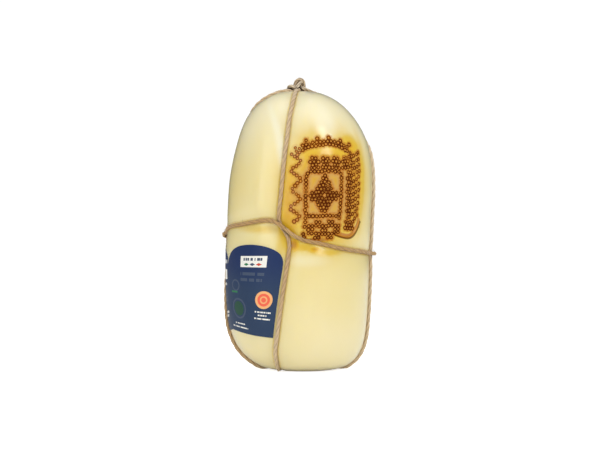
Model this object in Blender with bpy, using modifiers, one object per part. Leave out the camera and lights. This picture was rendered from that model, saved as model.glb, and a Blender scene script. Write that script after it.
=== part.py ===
# A caciocavallo: a tall cheese, roped with jute twine into four lobes and tied off on top, with a
# printed label stuck round its lower left side.
# Metres, +Z up. The face with the burned-in mark looks along -Y. The origin is on the ground,
# under the middle of the whole piece. Azimuth is measured from -Y (the front) towards +X.

import math
import bpy
import bmesh
from mathutils import Vector

MM = 0.001

# The body, as it would be without its twine: a domed top, a straight belly and a blunt foot
CHEESE_HEIGHT = 214.8 * MM
BELLY_RADIUS = 55.6 * MM
TOP_HEIGHT = 88.5 * MM
TOP_POWER = 2.45
FOOT_HEIGHT = 50.8 * MM
FOOT_POWER = 3.7
FOOT_POWER_SWING = 0.65        # the foot is squarer on the right than on the left
FOOT_TAPER = 0.1               # how much narrower the foot is than the belly
TAPER_REACH = 77.0 * MM
FLAT_CUT = 0.5 * MM            # slice off the foot, which leaves the flat spot it stands on
FOOT_ARC_FACTOR = 1.06         # a squared-off end's arc against that of the mean circle
TOP_ARC_FACTOR = 1.02

# Sideways lean of the body: (height, x of its middle), in millimetres
CENTRE_LINE = [(0.0, -1.6), (50.0, -2.2), (100.0, -1.3), (140.0, 0.6), (172.0, 1.7), (200.0, -0.4),
               (213.7, -1.9)]
FOOT_POLE_SHIFT = -10.0 * MM   # the twines cross under the foot off its middle
FOOT_POLE_REACH = 36.0 * MM

# Twine
TWINE_RADIUS = 1.5 * MM
KNOT_TWINE_RADIUS = 1.3 * MM   # the twine is drawn tight in its knot
TWINE_LIFT = 0.5 * MM          # middle of the twine above the floor of the valley it lies in
PROUD_TWINE_LIFT = 1.1 * MM    # the side strands stand proud; the left one lies over the label
TOP_SINK_REACH = 45.0 * MM     # proud strands sink in towards the knot
CROSSING_RISE = 3.4 * MM       # one twine over another
CROSSING_REACH = 9.0 * MM
SUNK_TWINE = 1.85 * MM         # height of the lowest twine's middle above the ground

# Strands, in the order front, right, back, left: (millimetres up the profile, azimuth), by hand
STRANDS = [
    [(0.0, -11.0), (6.0, -16.0), (12.0, -22.0), (23.0, -27.8), (33.5, -28.3), (45.0, -24.6),
     (57.0, -20.7), (68.5, -17.0), (91.0, -12.9), (115.0, -9.1), (126.0, -7.6), (133.0, -6.9),
     (138.0, -7.6), (143.5, -10.4), (148.0, -14.2), (152.5, -16.4), (158.0, -16.7), (172.0, -16.0),
     (190.0, -15.4), (204.0, -15.1), (216.0, -14.5), (227.0, -13.3), (239.0, -11.5), (250.0, -9.3),
     (270.5, -6.0)],
    [(0.0, 90.0), (30.0, 90.0), (68.0, 88.5), (108.0, 88.5), (158.0, 88.5), (203.0, 89.5),
     (213.0, 93.0), (224.0, 105.0), (236.0, 116.0), (250.0, 122.0), (272.0, 123.0)],
    [(0.0, 170.0), (6.0, 175.4), (12.0, 180.6), (23.0, 186.4), (33.5, 187.2), (45.0, 183.9),
     (57.0, 181.5), (138.0, 181.5), (216.0, 179.0), (270.5, 176.0)],
    [(0.0, 270.0), (28.0, 274.0), (45.0, 278.0), (62.0, 276.5), (76.0, 272.0), (90.0, 267.3),
     (104.0, 263.4), (118.0, 260.5), (130.0, 259.7), (142.0, 260.5), (154.0, 256.0),
     (167.0, 250.5), (190.0, 247.0), (212.0, 246.5), (229.0, 248.5), (238.0, 253.0), (245.0, 259.5),
     (252.0, 266.5), (260.0, 272.5), (270.5, 277.0)],
]
STRAND_VALLEY = [3.0 * MM, 0.5 * MM, 3.0 * MM, 1.2 * MM]
STRAND_LIFT = [TWINE_LIFT, PROUD_TWINE_LIFT, TWINE_LIFT, PROUD_TWINE_LIFT]
STRAND_VALLEY_WIDTH = 9.0 * MM

# Belt: (azimuth, height in millimetres), by hand, once round
BELT = [(-95.0, 105.6), (-74.0, 109.9), (-55.0, 111.6), (-42.0, 113.1), (-32.0, 114.5),
        (-27.5, 114.9), (-23.0, 114.6), (-18.5, 113.4), (-14.0, 111.0), (-10.0, 108.2),
        (-6.5, 105.7), (-3.0, 103.3), (1.0, 101.4), (5.0, 100.0), (9.0, 99.1), (17.0, 97.8),
        (25.5, 96.0), (35.0, 94.1), (46.0, 92.6), (65.0, 91.0), (92.0, 89.5), (135.0, 90.2),
        (180.0, 92.7), (225.0, 95.7), (250.0, 99.7), (265.0, 105.6)]
BELT_VALLEY = 2.2 * MM
BELT_VALLEY_EASE = 0.6         # by how much of its depth it is shallower at the sides
BELT_VALLEY_WIDTH = 6.0 * MM
BELT_GUESS = 45.0 * MM         # rough height of the belt over the foot's rounding

# Groove that the twine presses, below the floor of its valley
GROOVE_DEPTH = 1.7 * MM
GROOVE_FLOOR = 1.3 * MM
GROOVE_HALF_WIDTH = 2.6 * MM
GROOVE_SHOULDER = 6.5 * MM
GROOVE_TURN_LIMIT = 0.74       # radians that the columns beside a strand may take up near a pole
VALLEY_FADE_RADIUS = 28.0 * MM
GROUND_FADE_HEIGHT = 8.0 * MM  # the valleys die out towards the ground

# Pit where the twines cross under the foot, and the dimple they gather in on top
PIT_RADIUS = 4.0 * MM
PIT_DEPTH = 7.3 * MM
PIT_RISE = 3.3 * MM            # the inner twine above the outer one
PIT_TAPER = 10.0 * MM
TOP_DIMPLE = 2.2 * MM
TOP_DIMPLE_RADIUS = 7.0 * MM

# Grid of the cheese
COLUMNS_BETWEEN = 10           # spaces between two shoulders
LOWER_ROWS = 11
UPPER_ROWS = 13
FOOT_RINGS = [3.5 * MM, 7.2 * MM, 12.0 * MM]
TOP_RINGS = [3.0 * MM, 7.5 * MM]
SMALL_RADIUS = 0.5 * MM
SLOPE_STEP = 0.5 * MM
SLOPE_TURN = 0.01

# Knot: an overhand knot drawn up round
KNOT_CENTRE = Vector((0.6 * MM, 0.0, 220.0 * MM))
KNOT_REACH = 3.7 * MM
KNOT_LOBE = 2.4
KNOT_DEPTH = 1.5 * MM
KNOT_POINTS = 42

# Label: two arched panels side by side, from the front strand round to the back
LABEL_GAP = 0.5 * MM
LABEL_THICKNESS = 0.3 * MM
LABEL_EDGE_GAP = 3.2 * MM      # from the front strand's middle
LABEL_BOTTOM_FRONT = 26.7 * MM
LABEL_BOTTOM_SIDE = 32.6 * MM
LABEL_SHOULDER = 81.5 * MM
LABEL_ARCH = 15.2 * MM
LABEL_ARCH_POWER = 2.15
LABEL_NOTCH_STEPS = 7          # columns from the front shoulder to the notch between the panels
LABEL_STEPS = 19               # columns from the front shoulder to the back edge
LABEL_ROWS = 8


# ---------------------------------------------------------------- smooth values

def smooth_through(keys, place):
    """Value at place of a smooth curve through (place, value) keys, flat beyond its ends."""
    if place <= keys[0][0]:
        return keys[0][1]
    if place >= keys[-1][0]:
        return keys[-1][1]
    index = max(i for i in range(len(keys) - 1) if keys[i][0] <= place)
    slopes = []
    for i in (index, index + 1):
        before = keys[max(i - 1, 0)]
        after = keys[min(i + 1, len(keys) - 1)]
        slopes.append((after[1] - before[1]) / (after[0] - before[0]))
    (x0, y0), (x1, y1) = keys[index], keys[index + 1]
    span = x1 - x0
    t = (place - x0) / span
    return ((2 * t**3 - 3 * t**2 + 1) * y0 + (t**3 - 2 * t**2 + t) * span * slopes[0]
            + (3 * t**2 - 2 * t**3) * y1 + (t**3 - t**2) * span * slopes[1])


def fade(value):
    """0 below 0, 1 above 1, and smooth between."""
    t = min(max(value, 0.0), 1.0)
    return t * t * (3.0 - 2.0 * t)


def bump(distance, reach):
    """1 at distance 0, falling smoothly to 0 at reach."""
    return 1.0 - fade(abs(distance) / reach)


# ---------------------------------------------------------------- the body without its twine

FOOT_ARC = 0.25 * math.pi * (BELLY_RADIUS + FOOT_HEIGHT) * FOOT_ARC_FACTOR
TOP_ARC = 0.25 * math.pi * (BELLY_RADIUS + TOP_HEIGHT) * TOP_ARC_FACTOR
BELLY_LENGTH = CHEESE_HEIGHT - TOP_HEIGHT - FOOT_HEIGHT
PROFILE_LENGTH = FOOT_ARC + BELLY_LENGTH + TOP_ARC


def rounded_end(angle, radius, height, power):
    """Radius, and distance short of the end, at an angle off the axis of a superelliptic end."""
    reach = ((math.sin(angle) / radius)**power + (math.cos(angle) / height)**power)**(-1.0 / power)
    return reach * math.sin(angle), height - reach * math.cos(angle)


def profile(way, azimuth):
    """Radius and height at a way along the profile, from the foot's pole (0) to the top's pole."""
    if way < FOOT_ARC:
        power = FOOT_POWER + FOOT_POWER_SWING * math.sin(azimuth)
        angle = 0.5 * math.pi * max(way, 0.0) / FOOT_ARC
        radius, height = rounded_end(angle, BELLY_RADIUS, FOOT_HEIGHT, power)
    elif way < FOOT_ARC + BELLY_LENGTH:
        radius, height = BELLY_RADIUS, FOOT_HEIGHT + way - FOOT_ARC
    else:
        angle = 0.5 * math.pi * max(PROFILE_LENGTH - way, 0.0) / TOP_ARC
        radius, drop = rounded_end(angle, BELLY_RADIUS, TOP_HEIGHT, TOP_POWER)
        height = CHEESE_HEIGHT - drop
    low = max(1.0 - height / TAPER_REACH, 0.0)
    return radius * (1.0 - FOOT_TAPER * low * low), height


def way_at_height(height):
    """Way along the profile at a height below the dome, by halving."""
    low, high = 0.0, FOOT_ARC + BELLY_LENGTH
    for _ in range(30):
        middle = 0.5 * (low + high)
        if profile(middle, 0.0)[1] < height:
            low = middle
        else:
            high = middle
    return low


def foot_height_at(radius, azimuth):
    """Height of the rounded foot over a point of the ground plan."""
    power = FOOT_POWER + FOOT_POWER_SWING * math.sin(azimuth)
    share = min(radius / (BELLY_RADIUS * (1.0 - FOOT_TAPER)), 0.999)
    return FOOT_HEIGHT * (1.0 - (1.0 - share**power)**(1.0 / power))


def body_point(azimuth, way):
    """Point of the body without its twine."""
    radius, height = profile(way, azimuth)
    middle = smooth_through(CENTRE_LINE, height / MM) * MM
    x = radius * math.sin(azimuth)
    y = -radius * math.cos(azimuth)
    shift = FOOT_POLE_SHIFT * bump(radius, FOOT_POLE_REACH) if way < FOOT_ARC else 0.0
    if shift:
        x += shift
        height += foot_height_at(math.hypot(x, y), math.atan2(x, -y)) - foot_height_at(radius, azimuth)
    return Vector((middle + x, y, max(height - FLAT_CUT, 0.0)))


def body_normal(azimuth, way):
    """Outward direction of the body at a point."""
    if way < PIT_RADIUS:
        return Vector((0.0, 0.0, -1.0))
    if way > PROFILE_LENGTH - PIT_RADIUS:
        return Vector((0.0, 0.0, 1.0))
    along = body_point(azimuth, way + SLOPE_STEP) - body_point(azimuth, way - SLOPE_STEP)
    across = body_point(azimuth + SLOPE_TURN, way) - body_point(azimuth - SLOPE_TURN, way)
    normal = across.cross(along)
    return normal.normalized()


# ---------------------------------------------------------------- where the twines run

def strand_azimuth(strand, way):
    """Azimuth of a strand at a way along the profile."""
    return math.radians(smooth_through(STRANDS[strand % 4], way / MM))


def belt_way(azimuth):
    """Way along the profile where the belt passes an azimuth."""
    degrees = (math.degrees(azimuth) - BELT[0][0]) % 360.0 + BELT[0][0]
    return FOOT_ARC + smooth_through(BELT, degrees) * MM - FOOT_HEIGHT


def column_places():
    """Sector, distance from a strand, and share of the space between shoulders, of each column."""
    near = [0.0, GROOVE_FLOOR, GROOVE_HALF_WIDTH, GROOVE_SHOULDER]
    places = []
    for sector in range(4):
        places += [(sector, distance, 0.0) for distance in near]
        places += [(sector, GROOVE_SHOULDER, k / COLUMNS_BETWEEN) for k in range(1, COLUMNS_BETWEEN)]
        places += [(sector + 1, -distance, 0.0) for distance in reversed(near[1:])]
    return places


COLUMN_PLACES = column_places()
COLUMNS = len(COLUMN_PLACES)
SECTOR_COLUMNS = COLUMNS // 4


def place_azimuth(place, way):
    """Azimuth of a column's place at a way along the profile."""
    sector, distance, share = place
    radius = max(profile(way, 0.0)[0], SMALL_RADIUS)
    here = strand_azimuth(sector, way) + (2.0 * math.pi if sector == 4 else 0.0)
    turn = GROOVE_TURN_LIMIT * math.tanh(distance / (radius * GROOVE_TURN_LIMIT))
    if not share:
        return here + turn
    following = strand_azimuth(sector + 1, way) + (2.0 * math.pi if sector == 3 else 0.0)
    return here + turn + share * (following - here - 2.0 * turn)


def column_azimuth(column, way):
    """Azimuth of a column, whole or in between, at a way along the profile."""
    low = math.floor(column)
    azimuths = []
    for index in (low, low + 1):
        turns, rest = divmod(index, COLUMNS)
        azimuths.append(place_azimuth(COLUMN_PLACES[rest], way) + 2.0 * math.pi * turns)
    return azimuths[0] + (column - low) * (azimuths[1] - azimuths[0])


def row_ways(column):
    """Ways along the profile of all rows of a column, from pole to pole, with one on the belt."""
    middle = FOOT_ARC + BELT_GUESS
    for _ in range(4):
        middle = belt_way(column_azimuth(column, middle))
    near = [GROOVE_FLOOR, GROOVE_HALF_WIDTH, GROOVE_SHOULDER]
    start, end = FOOT_RINGS[-1], middle - GROOVE_SHOULDER
    ways = [0.0] + FOOT_RINGS
    ways += [start + (end - start) * k / (LOWER_ROWS + 1) for k in range(1, LOWER_ROWS + 1)]
    ways += [middle - distance for distance in reversed(near)] + [middle]
    ways += [middle + distance for distance in near]
    start, end = middle + GROOVE_SHOULDER, PROFILE_LENGTH - TOP_RINGS[-1]
    ways += [start + (end - start) * k / (UPPER_ROWS + 1) for k in range(1, UPPER_ROWS + 1)]
    ways += [PROFILE_LENGTH - ring for ring in reversed(TOP_RINGS)] + [PROFILE_LENGTH]
    return ways


ROWS = len(row_ways(0)) - 1
BELT_ROW = len(FOOT_RINGS) + LOWER_ROWS + 4


def valley_depth(azimuth, way):
    """Depth of the broad valleys that the twines draw between the lobes."""
    radius = profile(way, azimuth)[0]
    cross = 0.0
    for strand in range(4):
        turn = (azimuth - strand_azimuth(strand, way) + math.pi) % (2.0 * math.pi) - math.pi
        depth = STRAND_VALLEY[strand] * math.exp(-0.5 * (turn * radius / STRAND_VALLEY_WIDTH)**2)
        cross = max(cross, depth)
    cross *= fade(radius / VALLEY_FADE_RADIUS) * fade(body_point(azimuth, way).z / GROUND_FADE_HEIGHT)
    belt = BELT_VALLEY * (1.0 - BELT_VALLEY_EASE * math.sin(azimuth)**2)
    belt *= math.exp(-0.5 * ((way - belt_way(azimuth)) / BELT_VALLEY_WIDTH)**2)
    dimple = TOP_DIMPLE * bump(PROFILE_LENGTH - way, TOP_DIMPLE_RADIUS)
    return math.hypot(cross, belt) + dimple


def strand_lift(strand, azimuth, way):
    """Height of a strand's middle over the valley floor; it sinks in where it would touch ground."""
    proud = fade((PROFILE_LENGTH - way) / TOP_SINK_REACH)
    lift = TWINE_LIFT + (STRAND_LIFT[strand] - TWINE_LIFT) * proud
    downward = -body_normal(azimuth, way).z
    if downward > 0.0:
        room = body_point(azimuth, way).z + valley_depth(azimuth, way) * downward - SUNK_TWINE
        lift = min(lift, room / downward)
    if strand % 2:
        lift -= PIT_RISE * bump(way, PIT_TAPER)
    return lift


def surface_point(azimuth, way, lift):
    """Point a lift above the floor of the valleys."""
    normal = body_normal(azimuth, way)
    return body_point(azimuth, way) + normal * (lift - valley_depth(azimuth, way))


def groove_depth(column, row, azimuth, way):
    """Depth of the narrow groove at a vertex of the cheese's grid."""
    if way <= PIT_RADIUS:
        return PIT_DEPTH
    if way > PROFILE_LENGTH - PIT_RADIUS:
        return GROOVE_DEPTH
    depth = 0.0
    sector, distance, share = COLUMN_PLACES[column]
    if not share and abs(distance) <= GROOVE_FLOOR:
        lift = strand_lift(sector % 4, azimuth, way)
        depth = GROOVE_DEPTH + max(TWINE_LIFT - lift, 0.0)
    if abs(row - BELT_ROW) <= 1:
        depth = max(depth, GROOVE_DEPTH)
    return depth


# ---------------------------------------------------------------- sub-parts

def make_material(name, colour, roughness):
    """Principled material of one colour."""
    material = bpy.data.materials.new(name)
    material.use_nodes = True
    shader = material.node_tree.nodes["Principled BSDF"]
    shader.inputs["Base Color"].default_value = (*colour, 1.0)
    shader.inputs["Roughness"].default_value = roughness
    shader.inputs["Metallic"].default_value = 0.0
    material.diffuse_color = (*colour, 1.0)
    return material


def add_object(collection, name, data, material):
    """New object with its material, in the collection."""
    data.materials.append(material)
    thing = bpy.data.objects.new(name, data)
    collection.objects.link(thing)
    return thing


def make_cheese(collection, material):
    """The cheese: a ball's grid drawn onto the lobed body, its lines along the twines."""
    ball = bmesh.new()
    bmesh.ops.create_uvsphere(ball, u_segments=COLUMNS, v_segments=ROWS, radius=1.0)
    ways = [row_ways(column) for column in range(COLUMNS)]
    for vertex in ball.verts:
        turn = math.atan2(vertex.co.x, -vertex.co.y) % (2.0 * math.pi)
        column = round(turn / (2.0 * math.pi) * COLUMNS) % COLUMNS
        row = round(math.acos(max(-1.0, min(1.0, -vertex.co.z))) / math.pi * ROWS)
        way = ways[column][row]
        azimuth = column_azimuth(column, way)
        vertex.co = surface_point(azimuth, way, -groove_depth(column, row, azimuth, way))
    mesh = bpy.data.meshes.new("cheese")
    ball.to_mesh(mesh)
    ball.free()
    mesh.shade_smooth()
    return add_object(collection, "cheese", mesh, material)


def make_tube(collection, name, points, radius, closed, material):
    """Round cord through points, with flat ends or closed on itself."""
    curve = bpy.data.curves.new(name, "CURVE")
    curve.dimensions = "3D"
    curve.bevel_depth = radius
    curve.bevel_resolution = 2
    curve.use_fill_caps = True
    spline = curve.splines.new("POLY")
    spline.points.add(len(points) - 1)
    for point, place in zip(spline.points, points):
        point.co = (*place, 1.0)
    spline.use_cyclic_u = closed
    return add_object(collection, name, curve, material)


def strand_points(strand):
    """Middle of a strand, from the pole of the foot up to its end at the knot."""
    column = strand * SECTOR_COLUMNS
    points = []
    for way in row_ways(column)[:-1]:
        azimuth = column_azimuth(column, way)
        points.append(surface_point(azimuth, way, strand_lift(strand, azimuth, way)))
    return points


def make_loop(collection, name, strands, material):
    """Twine down one side, under the foot and up the other side."""
    down, up = [strand_points(strand) for strand in strands]
    return make_tube(collection, name, down[:0:-1] + up, TWINE_RADIUS, False, material)


def make_belt(collection, material):
    """Twine round the belly, over the four strands."""
    points = []
    for column in range(COLUMNS):
        way = row_ways(column)[BELT_ROW]
        azimuth = column_azimuth(column, way)
        sector, distance, share = COLUMN_PLACES[column]
        lift = TWINE_LIFT
        if not share:
            rise = CROSSING_RISE + STRAND_LIFT[sector % 4] - TWINE_LIFT
            lift += rise * bump(distance, CROSSING_REACH)
        points.append(surface_point(azimuth, way, lift))
    return make_tube(collection, "twine_belt", points, TWINE_RADIUS, True, material)


def make_knot(collection, material):
    """Overhand knot, standing up on the gathered strands."""
    points = []
    scale = KNOT_REACH / (1.0 + KNOT_LOBE)
    for k in range(KNOT_POINTS):
        t = 2.0 * math.pi * k / KNOT_POINTS
        across = scale * (math.sin(t) + KNOT_LOBE * math.sin(2.0 * t))
        upright = scale * (math.cos(t) - KNOT_LOBE * math.cos(2.0 * t))
        points.append(KNOT_CENTRE + Vector((across, -KNOT_DEPTH * math.sin(3.0 * t), upright)))
    return make_tube(collection, "twine_knot", points, KNOT_TWINE_RADIUS, True, material)


def label_columns():
    """Columns of the label, from its front edge back, on the columns of the cheese's grid."""
    shoulder = COLUMNS - 3
    edge = (GROOVE_SHOULDER - LABEL_EDGE_GAP) / (GROOVE_SHOULDER - GROOVE_HALF_WIDTH)
    return [shoulder + edge] + [shoulder - step for step in range(LABEL_STEPS + 1)]


def label_lift(column):
    """Height of the label over the valley floor; it dips into the groove under the left strand."""
    distance, share = COLUMN_PLACES[round(column) % COLUMNS][1:]
    in_groove = not share and abs(distance) <= GROOVE_FLOOR
    return LABEL_GAP - (GROOVE_DEPTH if in_groove else 0.0)


def make_label(collection, material):
    """Printed label: a sheet that follows the cheese, with an arched top to each panel."""
    columns = label_columns()
    across = len(columns) - 1
    notch = LABEL_NOTCH_STEPS + 1
    turns = [column_azimuth(column, FOOT_ARC) for column in columns]
    sheet = bmesh.new()
    bmesh.ops.create_grid(sheet, x_segments=across, y_segments=LABEL_ROWS, size=0.5)
    for vertex in sheet.verts:
        step = round((0.5 - vertex.co.x) * across)
        first, last = (0, notch) if step <= notch else (notch, across)
        share = (turns[step] - turns[first]) / (turns[last] - turns[first])
        arch = (1.0 - abs(2.0 * share - 1.0)**LABEL_ARCH_POWER)**(1.0 / LABEL_ARCH_POWER)
        outward = abs(2.0 * (turns[step] - turns[0]) / (turns[across] - turns[0]) - 1.0)
        bottom = LABEL_BOTTOM_SIDE + (LABEL_BOTTOM_FRONT - LABEL_BOTTOM_SIDE) * outward
        top = LABEL_SHOULDER + LABEL_ARCH * arch
        way = way_at_height(bottom + (top - bottom) * (vertex.co.y + 0.5))
        azimuth = column_azimuth(columns[step], way)
        vertex.co = surface_point(azimuth, way, label_lift(columns[step]))
    bmesh.ops.recalc_face_normals(sheet, faces=sheet.faces)
    mesh = bpy.data.meshes.new("label")
    sheet.to_mesh(mesh)
    sheet.free()
    label = add_object(collection, "label", mesh, material)
    wall = label.modifiers.new("thickness", "SOLIDIFY")
    wall.thickness = LABEL_THICKNESS
    wall.offset = 1.0
    return label


# ---------------------------------------------------------------- the whole

def centre_on_origin(objects):
    """Moves everything so that the middle of the whole's ground plan is the origin."""
    bpy.context.view_layer.update()
    graph = bpy.context.evaluated_depsgraph_get()
    corners = []
    for thing in objects:
        mesh = thing.evaluated_get(graph).to_mesh()
        corners += [vertex.co.copy() for vertex in mesh.vertices]
    middle = Vector((0.0, 0.0, 0.0))
    for axis in (0, 1):
        values = [corner[axis] for corner in corners]
        middle[axis] = 0.5 * (min(values) + max(values))
    for thing in objects:
        thing.location = -middle


def main():
    for thing in list(bpy.data.objects):
        bpy.data.objects.remove(thing, do_unlink=True)
    collection = bpy.data.collections.new("caciocavallo")
    bpy.context.scene.collection.children.link(collection)
    rind = make_material("waxy_rind", (0.85, 0.72, 0.33), 0.35)
    jute = make_material("jute_twine", (0.46, 0.31, 0.18), 0.85)
    printed = make_material("printed_label", (0.03, 0.07, 0.16), 0.45)
    objects = [
        make_cheese(collection, rind),
        make_loop(collection, "twine_front_back", (0, 2), jute),
        make_loop(collection, "twine_left_right", (3, 1), jute),
        make_belt(collection, jute),
        make_knot(collection, jute),
        make_label(collection, printed),
    ]
    centre_on_origin(objects)


main()
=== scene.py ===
import math
import bpy
import bmesh
import numpy as np
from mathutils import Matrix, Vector, kdtree, noise


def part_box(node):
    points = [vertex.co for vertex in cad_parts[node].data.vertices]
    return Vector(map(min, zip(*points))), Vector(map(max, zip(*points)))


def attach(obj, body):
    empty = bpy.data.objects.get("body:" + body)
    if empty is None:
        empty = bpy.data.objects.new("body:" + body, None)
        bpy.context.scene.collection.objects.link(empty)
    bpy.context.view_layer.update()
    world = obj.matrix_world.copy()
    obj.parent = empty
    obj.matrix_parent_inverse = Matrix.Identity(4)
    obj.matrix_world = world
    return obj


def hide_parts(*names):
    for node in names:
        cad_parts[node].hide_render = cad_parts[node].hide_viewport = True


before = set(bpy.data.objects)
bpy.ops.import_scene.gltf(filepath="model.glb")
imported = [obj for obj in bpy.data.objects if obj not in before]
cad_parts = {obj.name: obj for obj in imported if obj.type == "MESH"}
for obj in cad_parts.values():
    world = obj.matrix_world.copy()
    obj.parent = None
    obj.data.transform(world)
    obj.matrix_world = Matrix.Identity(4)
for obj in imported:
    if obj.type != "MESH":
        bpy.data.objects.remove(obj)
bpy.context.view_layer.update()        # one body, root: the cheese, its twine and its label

# A caciocavallo, roped with jute twine into four lobes, with a mark burned into its front.
# Metres, +Z up. Azimuth is measured from -Y (the front) towards +X, in radians.
mm = 0.001
fullTurn = 2 * math.pi


# Values along a curve

def smoothThrough(keys, place):      # a smooth curve through (place, value) keys, flat beyond its ends
    places, values = np.array(keys, float).T
    last = len(places) - 1
    after = np.minimum(np.arange(last + 1) + 1, last)
    before = np.maximum(np.arange(last + 1) - 1, 0)
    slopes = (values[after] - values[before]) / (places[after] - places[before])
    place = np.clip(place, places[0], places[-1])
    i = np.clip(np.searchsorted(places, place, side="right") - 1, 0, last - 1)
    span = places[i + 1] - places[i]
    t = (place - places[i]) / span
    return ((2 * t**3 - 3 * t**2 + 1) * values[i] + (t**3 - 2 * t**2 + t) * span * slopes[i]
            + (3 * t**2 - 2 * t**3) * values[i + 1] + (t**3 - t**2) * span * slopes[i + 1])


def fade(value):                     # 0 below 0, 1 above 1, smooth between
    t = np.clip(value, 0.0, 1.0)
    return t * t * (3.0 - 2.0 * t)


def bump(distance, reach):           # 1 at 0, falling smoothly to 0 at reach
    return 1.0 - fade(np.abs(distance) / reach)


def vectors(x, y, z):
    return np.stack(np.broadcast_arrays(x, y, z), axis=-1).astype(float)


# The body without its twine: a domed top, a straight belly and a blunt foot, as in the solid

body = {
    "height": 214.8 * mm,
    "bellyRadius": 55.6 * mm,
    "topHeight": 88.5 * mm,
    "topPower": 2.45,
    "footHeight": 50.8 * mm,
    "footPower": 3.7,
    "footPowerSwing": 0.65,          # the foot is squarer on the right
    "footTaper": 0.1,
    "taperReach": 77.0 * mm,
    "flatCut": 0.5 * mm,
    "footArcFactor": 1.06,
    "topArcFactor": 1.02,
    "lean": [(0.0, -1.6), (50.0, -2.2), (100.0, -1.3), (140.0, 0.6), (172.0, 1.7), (200.0, -0.4),
             (213.7, -1.9)],         # height and sideways place of the middle, in mm
    "footPoleShift": -10.0 * mm,     # the twines cross under the foot off its middle
    "footPoleReach": 36.0 * mm,
    "poleCap": 4.0 * mm,
    "slopeStep": 0.5 * mm,
    "slopeTurn": 0.01,
    "smallRadius": 0.5 * mm,
    "swells": [(38 * mm, 0.35 * mm), (13 * mm, 0.07 * mm)],      # size and height: slow swells, shallow dents
}
footArc = 0.25 * math.pi * (body["bellyRadius"] + body["footHeight"]) * body["footArcFactor"]
topArc = 0.25 * math.pi * (body["bellyRadius"] + body["topHeight"]) * body["topArcFactor"]
bellyLength = body["height"] - body["topHeight"] - body["footHeight"]
wayLength = footArc + bellyLength + topArc       # from the foot's pole to the top's pole


def roundedEnd(angle, radius, height, power):    # of a superelliptic end, angle off its axis
    sine = np.sin(angle)
    cosine = np.maximum(np.cos(angle), 0.0)
    reach = ((sine / radius) ** power + (cosine / height) ** power) ** (-1.0 / power)
    return reach * sine, height - reach * cosine


def footPowerAt(azimuth):
    return body["footPower"] + body["footPowerSwing"] * np.sin(azimuth)


def profile(way, azimuth):           # radius and height at a way along the profile
    belly = body["bellyRadius"]
    footAngle = 0.5 * math.pi * np.clip(way / footArc, 0.0, 1.0)
    topAngle = 0.5 * math.pi * np.clip((wayLength - way) / topArc, 0.0, 1.0)
    footRadius, footHeight = roundedEnd(footAngle, belly, body["footHeight"], footPowerAt(azimuth))
    topRadius, topDrop = roundedEnd(topAngle, belly, body["topHeight"], body["topPower"])
    inFoot = way < footArc
    inBelly = way < footArc + bellyLength
    radius = np.where(inFoot, footRadius, np.where(inBelly, belly, topRadius))
    straight = body["footHeight"] + way - footArc
    height = np.where(inFoot, footHeight, np.where(inBelly, straight, body["height"] - topDrop))
    low = np.maximum(1.0 - height / body["taperReach"], 0.0)
    return radius * (1.0 - body["footTaper"] * low * low), height


def footHeightAt(radius, azimuth):
    power = footPowerAt(azimuth)
    share = np.minimum(radius / (body["bellyRadius"] * (1.0 - body["footTaper"])), 0.999)
    return body["footHeight"] * (1.0 - (1.0 - share**power) ** (1.0 / power))


def bodyPoint(azimuth, way):
    radius, height = profile(way, azimuth)
    middle = smoothThrough(body["lean"], height / mm) * mm
    x = radius * np.sin(azimuth)
    y = -radius * np.cos(azimuth)
    shift = np.where(way < footArc, body["footPoleShift"] * bump(radius, body["footPoleReach"]), 0.0)
    moved = footHeightAt(np.hypot(x + shift, y), np.arctan2(x + shift, -y))
    height = height + np.where(shift != 0.0, moved - footHeightAt(radius, azimuth), 0.0)
    return vectors(middle + x + shift, y, np.maximum(height - body["flatCut"], 0.0))


def bodyNormal(azimuth, way):
    along = bodyPoint(azimuth, way + body["slopeStep"]) - bodyPoint(azimuth, way - body["slopeStep"])
    across = bodyPoint(azimuth + body["slopeTurn"], way) - bodyPoint(azimuth - body["slopeTurn"], way)
    normal = np.cross(across, along)
    length = np.linalg.norm(normal, axis=-1, keepdims=True)
    normal = normal / np.maximum(length, 1e-15)
    atFoot = np.asarray(way < body["poleCap"])[..., None]
    atTop = np.asarray(way > wayLength - body["poleCap"])[..., None]
    return np.where(atFoot, [0.0, 0.0, -1.0], np.where(atTop, [0.0, 0.0, 1.0], normal))


# Where the twine runs: the same routes as in the solids, in mm and degrees

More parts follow.
